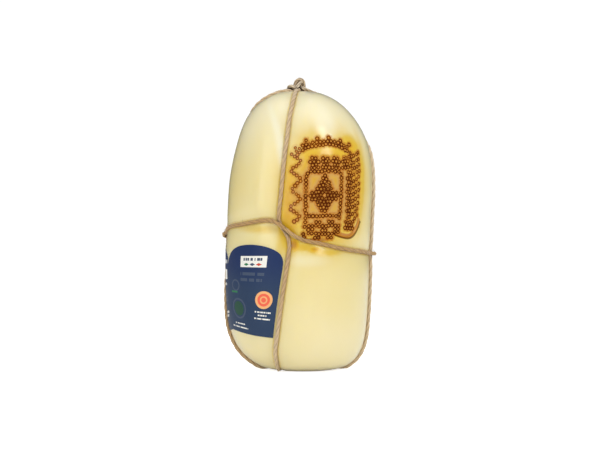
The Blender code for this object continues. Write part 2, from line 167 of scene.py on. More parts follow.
twine = {
    "radius": 1.5 * mm,
    "lift": [0.5 * mm, 1.1 * mm, 0.5 * mm, 1.1 * mm],      # front, right, back, left
    "topSinkReach": 45.0 * mm,       # the proud strands sink in towards the knot
    "valley": [3.0 * mm, 0.5 * mm, 3.0 * mm, 1.2 * mm],
    "valleyWidth": 9.0 * mm,
    "crossingRise": 3.4 * mm,        # the belt lies over the strands
    "crossingReach": 9.0 * mm,
    "sunk": 1.85 * mm,               # lowest middle of the twine under the foot
    "pitRise": 3.3 * mm,
    "pitTaper": 10.0 * mm,
    "strands": [
        [(0.0, -11.0), (6.0, -16.0), (12.0, -22.0), (23.0, -27.8), (33.5, -28.3), (45.0, -24.6),
         (57.0, -20.7), (68.5, -17.0), (91.0, -12.9), (115.0, -9.1), (126.0, -7.6), (133.0, -6.9),
         (138.0, -7.6), (143.5, -10.4), (148.0, -14.2), (152.5, -16.4), (158.0, -16.7), (172.0, -16.0),
         (190.0, -15.4), (204.0, -15.1), (216.0, -14.5), (227.0, -13.3), (239.0, -11.5), (250.0, -9.3),
         (270.5, -6.0)],
        [(0.0, 90.0), (30.0, 90.0), (68.0, 88.5), (108.0, 88.5), (158.0, 88.5), (203.0, 89.5),
         (213.0, 93.0), (224.0, 105.0), (236.0, 116.0), (250.0, 122.0), (272.0, 123.0)],
        [(0.0, 170.0), (6.0, 175.4), (12.0, 180.6), (23.0, 186.4), (33.5, 187.2), (45.0, 183.9),
         (57.0, 181.5), (138.0, 181.5), (216.0, 179.0), (270.5, 176.0)],
        [(0.0, 270.0), (28.0, 274.0), (45.0, 278.0), (62.0, 276.5), (76.0, 272.0), (90.0, 267.3),
         (104.0, 263.4), (118.0, 260.5), (130.0, 259.7), (142.0, 260.5), (154.0, 256.0),
         (167.0, 250.5), (190.0, 247.0), (212.0, 246.5), (229.0, 248.5), (238.0, 253.0), (245.0, 259.5),
         (252.0, 266.5), (260.0, 272.5), (270.5, 277.0)],
    ],
    "belt": [(-95.0, 105.6), (-74.0, 109.9), (-55.0, 111.6), (-42.0, 113.1), (-32.0, 114.5),
             (-27.5, 114.9), (-23.0, 114.6), (-18.5, 113.4), (-14.0, 111.0), (-10.0, 108.2),
             (-6.5, 105.7), (-3.0, 103.3), (1.0, 101.4), (5.0, 100.0), (9.0, 99.1), (17.0, 97.8),
             (25.5, 96.0), (35.0, 94.1), (46.0, 92.6), (65.0, 91.0), (92.0, 89.5), (135.0, 90.2),
             (180.0, 92.7), (225.0, 95.7), (250.0, 99.7), (265.0, 105.6)],
    "beltValley": 2.2 * mm,
    "beltValleyEase": 0.6,           # by how much of its depth it is shallower at the sides
    "beltValleyWidth": 6.0 * mm,
    "dimple": 2.2 * mm,
    "dimpleRadius": 7.0 * mm,
    "valleyFadeRadius": 28.0 * mm,
    "groundFadeHeight": 8.0 * mm,
    "routeStep": 0.8 * mm,
}


def strandAzimuth(strand, way):      # strand may be counted on past a full turn
    strand = np.asarray(strand)
    degrees = np.zeros(np.broadcast(strand, way).shape)
    for number, keys in enumerate(twine["strands"]):
        degrees = np.where(strand % 4 == number, smoothThrough(keys, way / mm), degrees)
    return np.radians(degrees) + fullTurn * (strand // 4)


def beltWay(azimuth):
    start = twine["belt"][0][0]
    degrees = (np.degrees(azimuth) - start) % 360.0 + start
    return footArc + smoothThrough(twine["belt"], degrees) * mm - body["footHeight"]


def valleyDepth(azimuth, way):       # broad valleys that the twine draws between the lobes
    radius = profile(way, azimuth)[0]
    cross = 0.0
    for strand in range(4):
        turn = (azimuth - strandAzimuth(strand, way) + math.pi) % fullTurn - math.pi
        hollow = np.exp(-0.5 * (turn * radius / twine["valleyWidth"]) ** 2)
        cross = np.maximum(cross, twine["valley"][strand] * hollow)
    cross = cross * fade(radius / twine["valleyFadeRadius"])
    cross = cross * fade(bodyPoint(azimuth, way)[..., 2] / twine["groundFadeHeight"])
    offBelt = (way - beltWay(azimuth)) / twine["beltValleyWidth"]
    belt = twine["beltValley"] * (1.0 - twine["beltValleyEase"] * np.sin(azimuth) ** 2)
    belt = belt * np.exp(-0.5 * offBelt**2)
    return np.hypot(cross, belt) + twine["dimple"] * bump(wayLength - way, twine["dimpleRadius"])


def surfacePoint(azimuth, way, lift):            # lift above the floor of the valleys
    height = np.asarray(lift - valleyDepth(azimuth, way))[..., None]
    return bodyPoint(azimuth, way) + bodyNormal(azimuth, way) * height


def strandLift(strand, azimuth, way):
    flush = twine["lift"][0]
    proud = fade((wayLength - way) / twine["topSinkReach"])
    lift = flush + (twine["lift"][strand] - flush) * proud
    downward = -bodyNormal(azimuth, way)[..., 2]
    room = bodyPoint(azimuth, way)[..., 2] + valleyDepth(azimuth, way) * downward - twine["sunk"]
    under = downward > 0.0
    lift = np.where(under, np.minimum(lift, room / np.where(under, downward, 1.0)), lift)
    if strand % 2:
        lift = lift - twine["pitRise"] * bump(way, twine["pitTaper"])
    return lift


def strandRoute(strand, end):        # from the pole of the foot up to a distance short of the top's pole
    length = wayLength - end
    way = np.linspace(0.0, length, round(length / twine["routeStep"]))
    azimuth = strandAzimuth(strand, way)
    return surfacePoint(azimuth, way, strandLift(strand, azimuth, way))


def beltRoute():
    count = round(fullTurn * body["bellyRadius"] / twine["routeStep"])
    azimuth = np.arange(count) * fullTurn / count
    way = beltWay(azimuth)
    lift = np.full(count, twine["lift"][0])
    for strand in range(4):
        turn = (azimuth - strandAzimuth(strand, way) + math.pi) % fullTurn - math.pi
        rise = twine["crossingRise"] + twine["lift"][strand] - twine["lift"][0]
        lift = lift + rise * bump(turn * body["bellyRadius"], twine["crossingReach"])
    return surfacePoint(azimuth, way, lift)


# The solids stand with the middle of their ground plan on the origin: the belt shows how far that is
belt = beltRoute()
low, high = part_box("twine_belt")
centring = vectors(*[0.5 * (low[i] + high[i] - belt[:, i].min() - belt[:, i].max()) for i in (0, 1)], 0.0)


def unevenness(points):              # of a rind formed by hand
    lift = [sum(height * noise.noise(Vector(point) / size) for size, height in body["swells"])
            for point in points]
    return lift * fade(points[:, 2] / twine["groundFadeHeight"])


# Small tools

def linear(hexColour):               # sRGB hex to linear values
    parts = [int(hexColour[i:i + 2], 16) / 255 for i in (1, 3, 5)]
    return [p / 12.92 if p <= 0.04045 else ((p + 0.055) / 1.055) ** 2.4 for p in parts] + [1.0]


def setInputs(tree, node, inputs):   # values, sockets or nodes, in the sockets' order or by their names
    shown = [socket for socket in node.inputs if socket.enabled]
    for key, value in inputs.items() if isinstance(inputs, dict) else enumerate(inputs):
        socket = shown[key] if isinstance(key, int) else next(s for s in shown if s.name == key)
        if isinstance(value, bpy.types.Node):
            value = next(s for s in value.outputs if s.enabled)
        if isinstance(value, bpy.types.NodeSocket):
            tree.links.new(value, socket)
        else:
            socket.default_value = value


def addNode(tree, kind, inputs=(), **settings):
    node = tree.nodes.new(kind)
    for name, value in settings.items():
        setattr(node, name, value)
    setInputs(tree, node, inputs)
    return node


def newTree(name, sockets):          # a Geometry Nodes tree with named inputs: (name, kind, value)
    tree = bpy.data.node_groups.new(name, "GeometryNodeTree")
    tree.interface.new_socket("Geometry", in_out="INPUT", socket_type="NodeSocketGeometry")
    tree.interface.new_socket("Geometry", in_out="OUTPUT", socket_type="NodeSocketGeometry")
    for inputName, kind, value in sockets:
        socket = tree.interface.new_socket(inputName, in_out="INPUT", socket_type="NodeSocket" + kind)
        if value is not None:
            socket.default_value = value
    return tree, tree.nodes.new("NodeGroupInput").outputs


def endTree(tree, geometry, material):           # realized and finished with its material
    realized = addNode(tree, "GeometryNodeRealizeInstances", {"Geometry": geometry})
    finished = addNode(tree, "GeometryNodeSetMaterial", {"Geometry": realized, "Material": material})
    addNode(tree, "NodeGroupOutput", {"Geometry": finished})


def addTree(thing, tree, values):    # modifier on thing, its inputs set by the sockets' identifiers
    modifier = thing.modifiers.new(tree.name, "NODES")
    modifier.node_group = tree
    for item in tree.interface.items_tree:
        if item.in_out == "INPUT" and item.name in values:
            modifier[item.identifier] = values[item.name]


def addThing(name, data):
    thing = bpy.data.objects.new(name, data)
    bpy.context.scene.collection.objects.link(thing)
    return thing


def makePlain(thing, name):          # turns an object with live modifiers into a plain mesh object
    evaluated = thing.evaluated_get(bpy.context.evaluated_depsgraph_get())
    mesh = bpy.data.meshes.new_from_object(evaluated)
    if mesh.materials[0] is None:        # a curve's empty slot
        mesh.materials.pop(index=0)
    mesh.name = name
    bpy.data.objects.remove(thing, do_unlink=True)
    return addThing(name, mesh)


def addMesh(name, points, faces):
    mesh = bpy.data.meshes.new(name)
    mesh.from_pydata([tuple(p) for p in points], [], faces)
    mesh.update()
    return addThing(name, mesh)


def addRoute(name, lines, closed=False):         # plain lines for the trees to follow
    curve = bpy.data.curves.new(name, "CURVE")
    curve.dimensions = "3D"
    for points in lines:
        spline = curve.splines.new("POLY")
        spline.points.add(len(points) - 1)
        spline.points.foreach_set("co", np.column_stack([points, np.ones(len(points))]).ravel())
        spline.use_cyclic_u = closed
    return addThing(name, curve)


def finishPiece(piece, node):  # attaches the piece to the body it rides on and hides the solid that it stands for
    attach(piece, "root")
    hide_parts(node)
    print(piece.name, "made:", len(piece.data.polygons), "faces")


def setValues(mesh, name, values):   # a value for each vertex, for the materials and trees to read
    values = np.asarray(values, float)
    kind = "FLOAT_VECTOR" if values.ndim == 2 else "FLOAT"
    attribute = mesh.attributes.new(name, kind, "POINT")
    attribute.data.foreach_set("vector" if values.ndim == 2 else "value", values.ravel())


def readValues(items, name, width=3):
    values = np.zeros(len(items) * width)
    items.foreach_get(name, values)
    return values.reshape(-1, width)


def newMaterial(name, constants):
    material = bpy.data.materials.new(name)
    material.use_nodes = True
    shader = material.node_tree.nodes["Principled BSDF"]
    setInputs(material.node_tree, shader, constants)
    return material, material.node_tree, shader


def layColours(tree, palette, base, layers, smoothing="SMOOTHSTEP"):    # each as thick as its share
    for colour, share in layers:
        if isinstance(share, tuple):     # a value, where it starts and ends, and the share at both
            value, start, end, low, high = share
            share = addNode(tree, "ShaderNodeMapRange", {"Value": value, "From Min": start, "From Max": end,
                            "To Min": low, "To Max": high}, interpolation_type=smoothing)
        if isinstance(colour, str):
            colour = linear(palette[colour])
        base = addNode(tree, "ShaderNodeMix", [share, base, colour], data_type="RGBA")
    return base


# Camera: level, well back with a long lens, as in the photograph

camera = {
    "lens": 100.0,
    "sensor": 36.0,
    "distance": 1.283,               # from the middle of the cheese
    "height": 110.9 * mm,
}


def addCamera():
    data = bpy.data.cameras.new("camera")
    data.lens = camera["lens"]
    data.sensor_width = camera["sensor"]
    data.dof.use_dof = False
    thing = addThing("camera", data)
    thing.location = (centring[0], centring[1] - camera["distance"], camera["height"])
    thing.rotation_euler = (0.5 * math.pi, 0.0, 0.0)
    bpy.context.scene.camera = thing


addCamera()
print("camera set")


# The burned-in mark: rings burned by the pins of an iron, on ground toasted by its heat.
# Its design lies in mark space: u to the right and v up along the rind, in mm, from its middle.

mark = {
    "azimuth": math.radians(23.5),
    "height": 136.5 * mm,
    "topMargin": 20.0 * mm,          # the mark ends well before the top's pole
    "pitch": 2.75,                   # from pin to pin, mm
    "rowPitch": 2.4,
    "least": 2.1,                    # no two pins closer than this
    "ringRadius": 1.36 * mm,
    "rimDepth": 0.4 * mm,
    "groundDepth": 0.3 * mm,
    "frame": {"at": (-4.7, -2.4), "half": (14.2, 16.8), "corner": 4.5},
    "lozenge": {"at": (-4.4, -3.6), "half": (11.4, 15.4), "slack": 0.3},
    "teeth": {"from": -17.2, "to": 17.4, "low": 17.0, "rows": 4, "width": 8.6, "fill": (1.02, 0.72)},
    "courses": {"from": -18.6, "to": 8.6, "top": -20.9, "rows": 6, "drop": 2.8},
    "heel": {"at": (18.4, -25.4), "rows": 1, "half": 4.6},
    "wave": {"u": -26.4, "swing": 3.4, "from": -23.0, "to": 27.0, "length": 13.6, "spacing": 0.98,
             "points": 200},
    "arch": [(-25.4, 26.4), (-20.8, 30.6), (-14.0, 32.4), (-3.8, 34.3), (3.5, 34.0), (9.5, 32.4),
             (15.6, 29.4)],
    "prongs": {"first": 1, "every": 3, "rings": 3, "spacing": 0.92},
    "band": {"from": 15.6, "top": 28.0, "low": -31.0, "spurs": [(6.4, 0.6), (9.2, 2.2), (12.0, 3.8)],
             "bare": 6.0},           # no spurs so far from its lower end
    "wander": {"size": 15.0, "by": 0.9, "jitter": 0.2, "layers": (5.0, 100.0)},    # the iron slipped, mm
    "heat": {"usual": 0.9, "spread": 0.07, "least": 0.4, "most": 1.15,
             "hotter": [(-4.0, -4.0, 17.0, 0.24), (19.0, -24.0, 16.0, 0.1)],     # u, v, reach, by how much
             "cooler": [(0, -1, 20.5, 3.0, 0.3), (1, 1, 29.0, 4.0, 0.06)]},     # axis, way, from, over, by
    "sizeSpread": 0.1,
    "ironEdge": [(5.5, -31.4), (11.0, -33.0), (18.0, -33.8), (23.0, -31.5), (27.2, -26.2), (29.0, -22.0)],
    "edgePoints": 40,
    "edgeStep": 0.8,
    "lipOut": 0.055,                 # the burned lip runs outside the iron's edge by this share
    "lookups": 400,                  # steps in which a way is looked up
    "seed": 5,
}


def alongLine(points, pitch, closed=False):      # evenly spaced places on a line through points
    points = np.array(points + points[:1] if closed else points, float)
    steps = np.linalg.norm(np.diff(points, axis=0), axis=1)
    ways = np.concatenate([[0.0], np.cumsum(steps)])
    count = max(round(ways[-1] / pitch), 1)
    at = np.linspace(0.0, ways[-1], count + 1)[:count if closed else count + 1]
    return np.column_stack([np.interp(at, ways, points[:, i]) for i in (0, 1)])


def roundedFrame():                  # outline of the frame, its corners cut round
    place, half, corner = mark["frame"]["at"], mark["frame"]["half"], mark["frame"]["corner"]
    points = []
    for quarter, (sx, sy) in enumerate([(1, 1), (-1, 1), (-1, -1), (1, -1)]):
        centre = (place[0] + sx * (half[0] - corner), place[1] + sy * (half[1] - corner))
        for degrees in range(0, 91, 15):
            angle = math.radians(90 * quarter + degrees)
            points.append((centre[0] + corner * math.cos(angle), centre[1] + corner * math.sin(angle)))
    return points


def inRows(middle, rows, reachAt):   # rows laid like bricks round a middle, as wide as reachAt each row
    pins = []
    for row in rows:
        first = 0.5 * mark["pitch"] if row % 2 else 0.0
        reach = reachAt(row)
        most = int(reach / mark["pitch"]) + 1
        pins += [(middle[0] + first + k * mark["pitch"], middle[1] + row * mark["rowPitch"])
                 for k in range(-most, most + 1) if abs(first + k * mark["pitch"]) <= reach]
    return pins


def markPins():                      # places of all pins, in mark space
    pitch, rowPitch = mark["pitch"], mark["rowPitch"]
    groups = [alongLine(roundedFrame(), pitch, True)]
    place, (halfU, halfV) = mark["lozenge"]["at"], mark["lozenge"]["half"]
    rows = int(halfV / rowPitch)
    lozenge = inRows(place, range(-rows, rows + 1),
                     lambda row: halfU * (1 - abs(row) * rowPitch / halfV) + mark["lozenge"]["slack"])
    groups.append([pin for pin in lozenge if math.dist(pin, place) > 0.5 * pitch])     # its middle is bare
    teeth = mark["teeth"]
    widest, narrowing = teeth["fill"]
    for tooth in range(round((teeth["to"] - teeth["from"]) / teeth["width"])):
        middle = teeth["from"] + (tooth + 0.5) * teeth["width"]
        groups.append(inRows((middle, teeth["low"]), range(teeth["rows"]),
                             lambda row: 0.5 * teeth["width"] * (widest - narrowing * row / teeth["rows"])))
    courses = mark["courses"]
    count = round((courses["to"] - courses["from"]) / pitch)
    for row in range(courses["rows"]):           # full rows with pairs between them
        for k in range(count + 1):
            if row % 2 == 0 or (k + row) % 4 < 2:
                groups.append([(courses["from"] + k * pitch, courses["top"] - row * courses["drop"])])
    heel = mark["heel"]
    groups.append(inRows(heel["at"], range(-heel["rows"], heel["rows"] + 1), lambda row: heel["half"]))
    wave = mark["wave"]
    rise = np.linspace(wave["from"], wave["to"], wave["points"])
    sway = wave["u"] + wave["swing"] * np.sin(fullTurn * (rise - wave["from"]) / wave["length"])
    groups.append(alongLine(list(zip(sway, rise)), wave["spacing"] * pitch))
    arch = alongLine(mark["arch"], pitch)
    groups.append(arch)
    ahead = np.gradient(arch, axis=0)
    away = np.column_stack([-ahead[:, 1], ahead[:, 0]]) / np.linalg.norm(ahead, axis=1)[:, None]
    groups.append(0.5 * (arch[1:] + arch[:-1]) + rowPitch * away[1:])            # a second row outside it
    prongs = mark["prongs"]
    for k in range(prongs["first"], len(arch), prongs["every"]):
        groups.append([arch[k] + step * prongs["spacing"] * pitch * away[k]
                       for step in range(1, prongs["rings"])])
    band = mark["band"]
    for row in range(int((band["top"] - band["low"]) / rowPitch)):      # two columns, with spurs to the right
        v = band["top"] - row * rowPitch
        shift = 0.5 * pitch * (row % 2)
        groups.append([(band["from"] + shift, v), (band["from"] + shift + pitch, v)])
        if row % 2 and v > band["low"] + band["bare"]:
            groups.append([(band["from"] + u, v + rise) for u, rise in band["spurs"]])
    kept = []
    for pin in np.vstack([np.array(group, float).reshape(-1, 2) for group in groups]):
        if all(math.dist(pin, other) > mark["least"] for other in kept):
            kept.append(pin)
    return np.array(kept)


def markToRind(places):              # azimuth and way of places in mark space
    steps = np.linspace(footArc, wayLength - mark["topMargin"], mark["lookups"])
    heights = bodyPoint(mark["azimuth"], steps)[:, 2]
    way = np.interp(mark["height"] + places[:, 1] * mm, heights, steps)
    return mark["azimuth"] + places[:, 0] * mm / profile(way, 0.0)[0], way


def rindToMark(azimuth, way):        # places in mark space, mm
    turn = (azimuth - mark["azimuth"] + math.pi) % fullTurn - math.pi
    u = turn * profile(way, 0.0)[0]
    v = bodyPoint(azimuth, way)[..., 2] - mark["height"]
    return np.stack([u, v], axis=-1) / mm


def addPins():                       # a point for each pin, with its heat and size
    pins = markPins()
    random = np.random.default_rng(mark["seed"])
    wander = mark["wander"]
    slips = [[noise.noise(Vector((u, v, layer)) / wander["size"]) for layer in wander["layers"]]
             for u, v in pins]
    pins = pins + wander["by"] * np.array(slips) + random.normal(0.0, wander["jitter"], pins.shape)
    azimuth, way = markToRind(pins)
    points = addMesh("pins", surfacePoint(azimuth, way, 0.0) + centring, [])
    given = mark["heat"]
    heat = random.normal(given["usual"], given["spread"], len(pins))
    for u, v, reach, more in given["hotter"]:
        heat = heat + more * bump(np.linalg.norm(pins - (u, v), axis=1), reach)
    for axis, sign, start, over, less in given["cooler"]:
        heat = heat - less * fade((sign * pins[:, axis] - start) / over)
    setValues(points.data, "heat", np.clip(heat, given["least"], given["most"]))
    setValues(points.data, "size", random.normal(1.0, mark["sizeSpread"], len(pins)))
    print("pins in the mark:", len(pins))
    return points


# The cheese: a grid whose columns run beside the four strands and whose rows run beside the belt

cheeseGrid = {
    "beside": [0.0, 0.45, 0.9, 1.35, 1.8, 2.3, 2.9, 3.7, 4.9, 6.5],    # lines beside a twine, mm
    "between": 42,                   # spaces between two strands' outermost lines
    "lowerRows": 64,
    "upperRows": 74,
    "beltGuess": 45.0 * mm,
    "turnLimit": 0.42,               # radians that the lines beside a strand may take up near a pole
    "markCuts": 4,                   # finer under the mark
    "markMargin": 3.0,               # mm
    "joinWithin": 0.001 * mm,        # at the seam and the poles
}


def columnPlaces(beside, between):   # sector, distance from its strand, share of the space to the next one
    places = []
    for sector in range(4):
        places += [(sector, distance * mm, 0.0) for distance in beside]
        places += [(sector, beside[-1] * mm, k / between) for k in range(1, between)]
        places += [(sector + 1, -distance * mm, 0.0) for distance in reversed(beside[1:])]
    return np.array(places)


def columnAzimuth(places, column, way):          # column may lie between two places
    lower = np.floor(column)
    azimuths = []
    for index in (lower, lower + 1):
        turns, rest = np.divmod(index.astype(int), len(places))
        sector, distance, share = places[rest].T
        radius = np.maximum(profile(way, 0.0)[0], body["smallRadius"])
        limit = cheeseGrid["turnLimit"]
        turn = limit * np.tanh(distance / (radius * limit))
        here = strandAzimuth(sector.astype(int), way)
        following = strandAzimuth(sector.astype(int) + 1, way)
        azimuths.append(here + turn + share * (following - here - 2 * turn) + fullTurn * turns)
    return azimuths[0] + (column - lower) * (azimuths[1] - azimuths[0])


def rowWays(places, columns):        # ways of all rows, one line for each column, with one row on the belt
    middle = np.full(len(columns), footArc + cheeseGrid["beltGuess"])
    for _ in range(4):               # closer each time, because the columns lean with the strands
        middle = beltWay(columnAzimuth(places, columns, middle))
    middle = middle[:, None]
    beside = np.array(cheeseGrid["beside"]) * mm
    lower = np.linspace(0.0, 1.0, cheeseGrid["lowerRows"] + 1) * (middle - beside[-1])
    near = middle + np.concatenate([-beside[-2::-1], beside[1:-1]])
    start = middle + beside[-1]
    upper = start + np.linspace(0.0, 1.0, cheeseGrid["upperRows"] + 1) * (wayLength - start)
    return np.hstack([lower, near, upper])


def addCheeseBody():                 # smooth lobed body, before the twine and the iron press into it
    places = columnPlaces(cheeseGrid["beside"], cheeseGrid["between"])
    columns = len(places)
    ways = rowWays(places, np.arange(columns + 1.0))
    rows = ways.shape[1] - 1
    flat = bmesh.new()               # column and row as x and y
    corners = [[flat.verts.new((c, r, 0.0)) for r in range(rows + 1)] for c in range(columns + 1)]
    for c in range(columns):
        for r in range(rows):
            flat.faces.new((corners[c][r], corners[c + 1][r], corners[c + 1][r + 1], corners[c][r + 1]))
    flat.faces.ensure_lookup_table()
    centres = np.array([face.calc_center_median()[:2] for face in flat.faces])

    def toRind(column, row):
        c = np.minimum(column.astype(int), columns - 1)
        r = np.minimum(row.astype(int), rows - 1)
        a, b = column - c, row - r
        way = ((1 - a) * ((1 - b) * ways[c, r] + b * ways[c, r + 1])
               + a * ((1 - b) * ways[c + 1, r] + b * ways[c + 1, r + 1]))
        return columnAzimuth(places, column, way), way

    reach = cheeseGrid["markMargin"]
    inMark = rindToMark(*toRind(*centres.T))
    pins = markPins()
    inside = np.all((inMark > pins.min(axis=0) - reach) & (inMark < pins.max(axis=0) + reach), axis=1)
    edges = {edge for face, wanted in zip(flat.faces, inside) if wanted for edge in face.edges}
    for r in range(rows):            # both sides of the seam are cut alike
        seam = {flat.edges.get((corners[c][r], corners[c][r + 1])) for c in (0, columns)}
        if edges & seam:
            edges |= seam
    bmesh.ops.subdivide_edges(flat, edges=list(edges), cuts=cheeseGrid["markCuts"], use_grid_fill=True)
    spots = np.array([vertex.co[:2] for vertex in flat.verts])
    azimuth, way = toRind(*spots.T)
    points = surfacePoint(azimuth, way, 0.0)
    outward = bodyNormal(azimuth, way)
    points = points + outward * unevenness(points)[:, None] + centring
    for vertex, point in zip(flat.verts, points):
        vertex.co = point
    mesh = bpy.data.meshes.new("cheese")
    flat.to_mesh(mesh)
    flat.free()
    setValues(mesh, "outward", outward)
    u, v = rindToMark(azimuth, way).T
    setValues(mesh, "markPlace", np.stack([u, v, 0 * u], axis=-1))
    joined = bmesh.new()             # closes the seam and the poles
    joined.from_mesh(mesh)
    bmesh.ops.remove_doubles(joined, verts=joined.verts, dist=cheeseGrid["joinWithin"])
    joined.to_mesh(mesh)
    joined.free()
    mesh.shade_smooth()
    print("cheese grid:", len(mesh.vertices), "vertices")
    return addThing("cheeseBody", mesh)


def sinkSurface(tree, geometry, depth, share, material):     # moves it inwards by a share of the depth
    outward = addNode(tree, "GeometryNodeInputNamedAttribute", {"Name": "outward"}, data_type="FLOAT_VECTOR")
    down = addNode(tree, "ShaderNodeMath", [depth, -share], operation="MULTIPLY")
    offset = addNode(tree, "ShaderNodeVectorMath", {0: outward, "Scale": down}, operation="SCALE")
    sunk = addNode(tree, "GeometryNodeSetPosition", {"Geometry": geometry, "Offset": offset})
    endTree(tree, sunk, material)


def softHollow(tree, squared):       # exp(-squared): 1 in the middle, round and soft at its sides
    minus = addNode(tree, "ShaderNodeMath", [squared, -1.0], operation="MULTIPLY")
    return addNode(tree, "ShaderNodeMath", [minus], operation="EXPONENT")


# How a twine, or the edge of the iron, sinks into what it lies on
press = {
    "softness": 1.25 * mm,           # of the hollow's sides
    "reach": 12.0 * mm,              # how far the rind is tinted beside it: partly fat stain, partly painted shade in the crease
    "deepest": 6.0 * mm,
    "widerFrom": 1.2 * mm,           # a hollow deeper than this widens
    "widening": 0.3,
    "snugness": 1.06,                # the grid cuts corners, so the hollow is a little deeper than the twine
    "labelRoom": 0.35 * mm,          # under the strand that runs over the label
    "iron": {
        "ironEdge": {"lift": 0.5 * mm, "Radius": 1.3 * mm, "Softness": 0.9 * mm, "Reach": 2.6 * mm},
        "ironLip": {"lift": 0.3 * mm, "Radius": 0.5 * mm, "Softness": 0.5 * mm, "Reach": 1.3 * mm},
    },
}


def pressTree():                     # sinks a surface under a route, snug round the twine that runs there
    tree, given = newTree("press under twine", [
        ("Route", "Object", None), ("Radius", "Float", twine["radius"]), ("Clearance", "Float", 0.0),
        ("Softness", "Float", press["softness"]), ("Reach", "Float", press["reach"]),
        ("Stored as", "String", "nearTwine"), ("Material", "Material", None)])
    route = addNode(tree, "GeometryNodeObjectInfo", {"Object": given["Route"]})
    line = addNode(tree, "GeometryNodeCurveToMesh", {"Curve": route.outputs["Geometry"]})
    nearest = addNode(tree, "GeometryNodeProximity", {"Geometry": line}, target_element="EDGES")
    place = addNode(tree, "GeometryNodeInputPosition")
    outward = addNode(tree, "GeometryNodeInputNamedAttribute", {"Name": "outward"}, data_type="FLOAT_VECTOR")
    apart = addNode(tree, "ShaderNodeVectorMath", [place, nearest.outputs["Position"]], operation="SUBTRACT")
    height = addNode(tree, "ShaderNodeVectorMath", [apart, outward], operation="DOT_PRODUCT")
    square = addNode(tree, "ShaderNodeVectorMath", [apart, apart], operation="DOT_PRODUCT")
    up = addNode(tree, "ShaderNodeMath", [height, height], operation="MULTIPLY")
    aside = addNode(tree, "ShaderNodeMath", [square, up], operation="SUBTRACT")      # squared
    reach = addNode(tree, "ShaderNodeMath", [given["Radius"], given["Clearance"]], operation="ADD")
    needed = addNode(tree, "ShaderNodeMath", [height, reach], operation="ADD")
    depth = addNode(tree, "ShaderNodeClamp", {"Value": needed, "Min": 0.0, "Max": press["deepest"]})
    deep = addNode(tree, "ShaderNodeMath", [depth, press["widerFrom"]], operation="SUBTRACT")
    extra = addNode(tree, "ShaderNodeMath", [deep, 0.0], operation="MAXIMUM")
    spread = addNode(tree, "ShaderNodeMath",
                     [extra, press["widening"], given["Softness"]], operation="MULTIPLY_ADD")
    spread2 = addNode(tree, "ShaderNodeMath", [spread, spread], operation="MULTIPLY")
    share = addNode(tree, "ShaderNodeMath", [aside, spread2], operation="DIVIDE")
    near = addNode(tree, "ShaderNodeMapRange",
                   {"Value": nearest.outputs["Distance"], "From Min": given["Radius"],
                    "From Max": given["Reach"], "To Min": 1.0, "To Max": 0.0},
                   interpolation_type="SMOOTHSTEP")
    within = addNode(tree, "ShaderNodeMath", [near, 0.0], operation="GREATER_THAN")
    here = addNode(tree, "ShaderNodeMath", [depth, within], operation="MULTIPLY")    # not the far side
    drop = addNode(tree, "ShaderNodeMath", [here, softHollow(tree, share)], operation="MULTIPLY")
    before = addNode(tree, "GeometryNodeInputNamedAttribute", {"Name": given["Stored as"]})
    nearer = addNode(tree, "ShaderNodeMath", [near, before.outputs["Attribute"]], operation="MAXIMUM")
    stored = addNode(tree, "GeometryNodeStoreNamedAttribute",
                     {"Geometry": given["Geometry"], "Name": given["Stored as"], "Value": nearer})
    sinkSurface(tree, stored, drop, press["snugness"], given["Material"])
    return tree


# How a pin burns its ring, and the iron's face the ground round it
burn = {
    "rim": 0.72,                     # where the ring is deepest, as a share of its radius
    "rimWidth": 0.27,
    "groundFrom": 1.6 * mm,          # the ground rises again this far from a pin
    "groundTo": 3.6 * mm,
    "grain": 1.6 * mm,               # blistered curd
    "roughness": (0.9, 0.55),        # how much of the ground's depth the grain changes, and how much stays
}


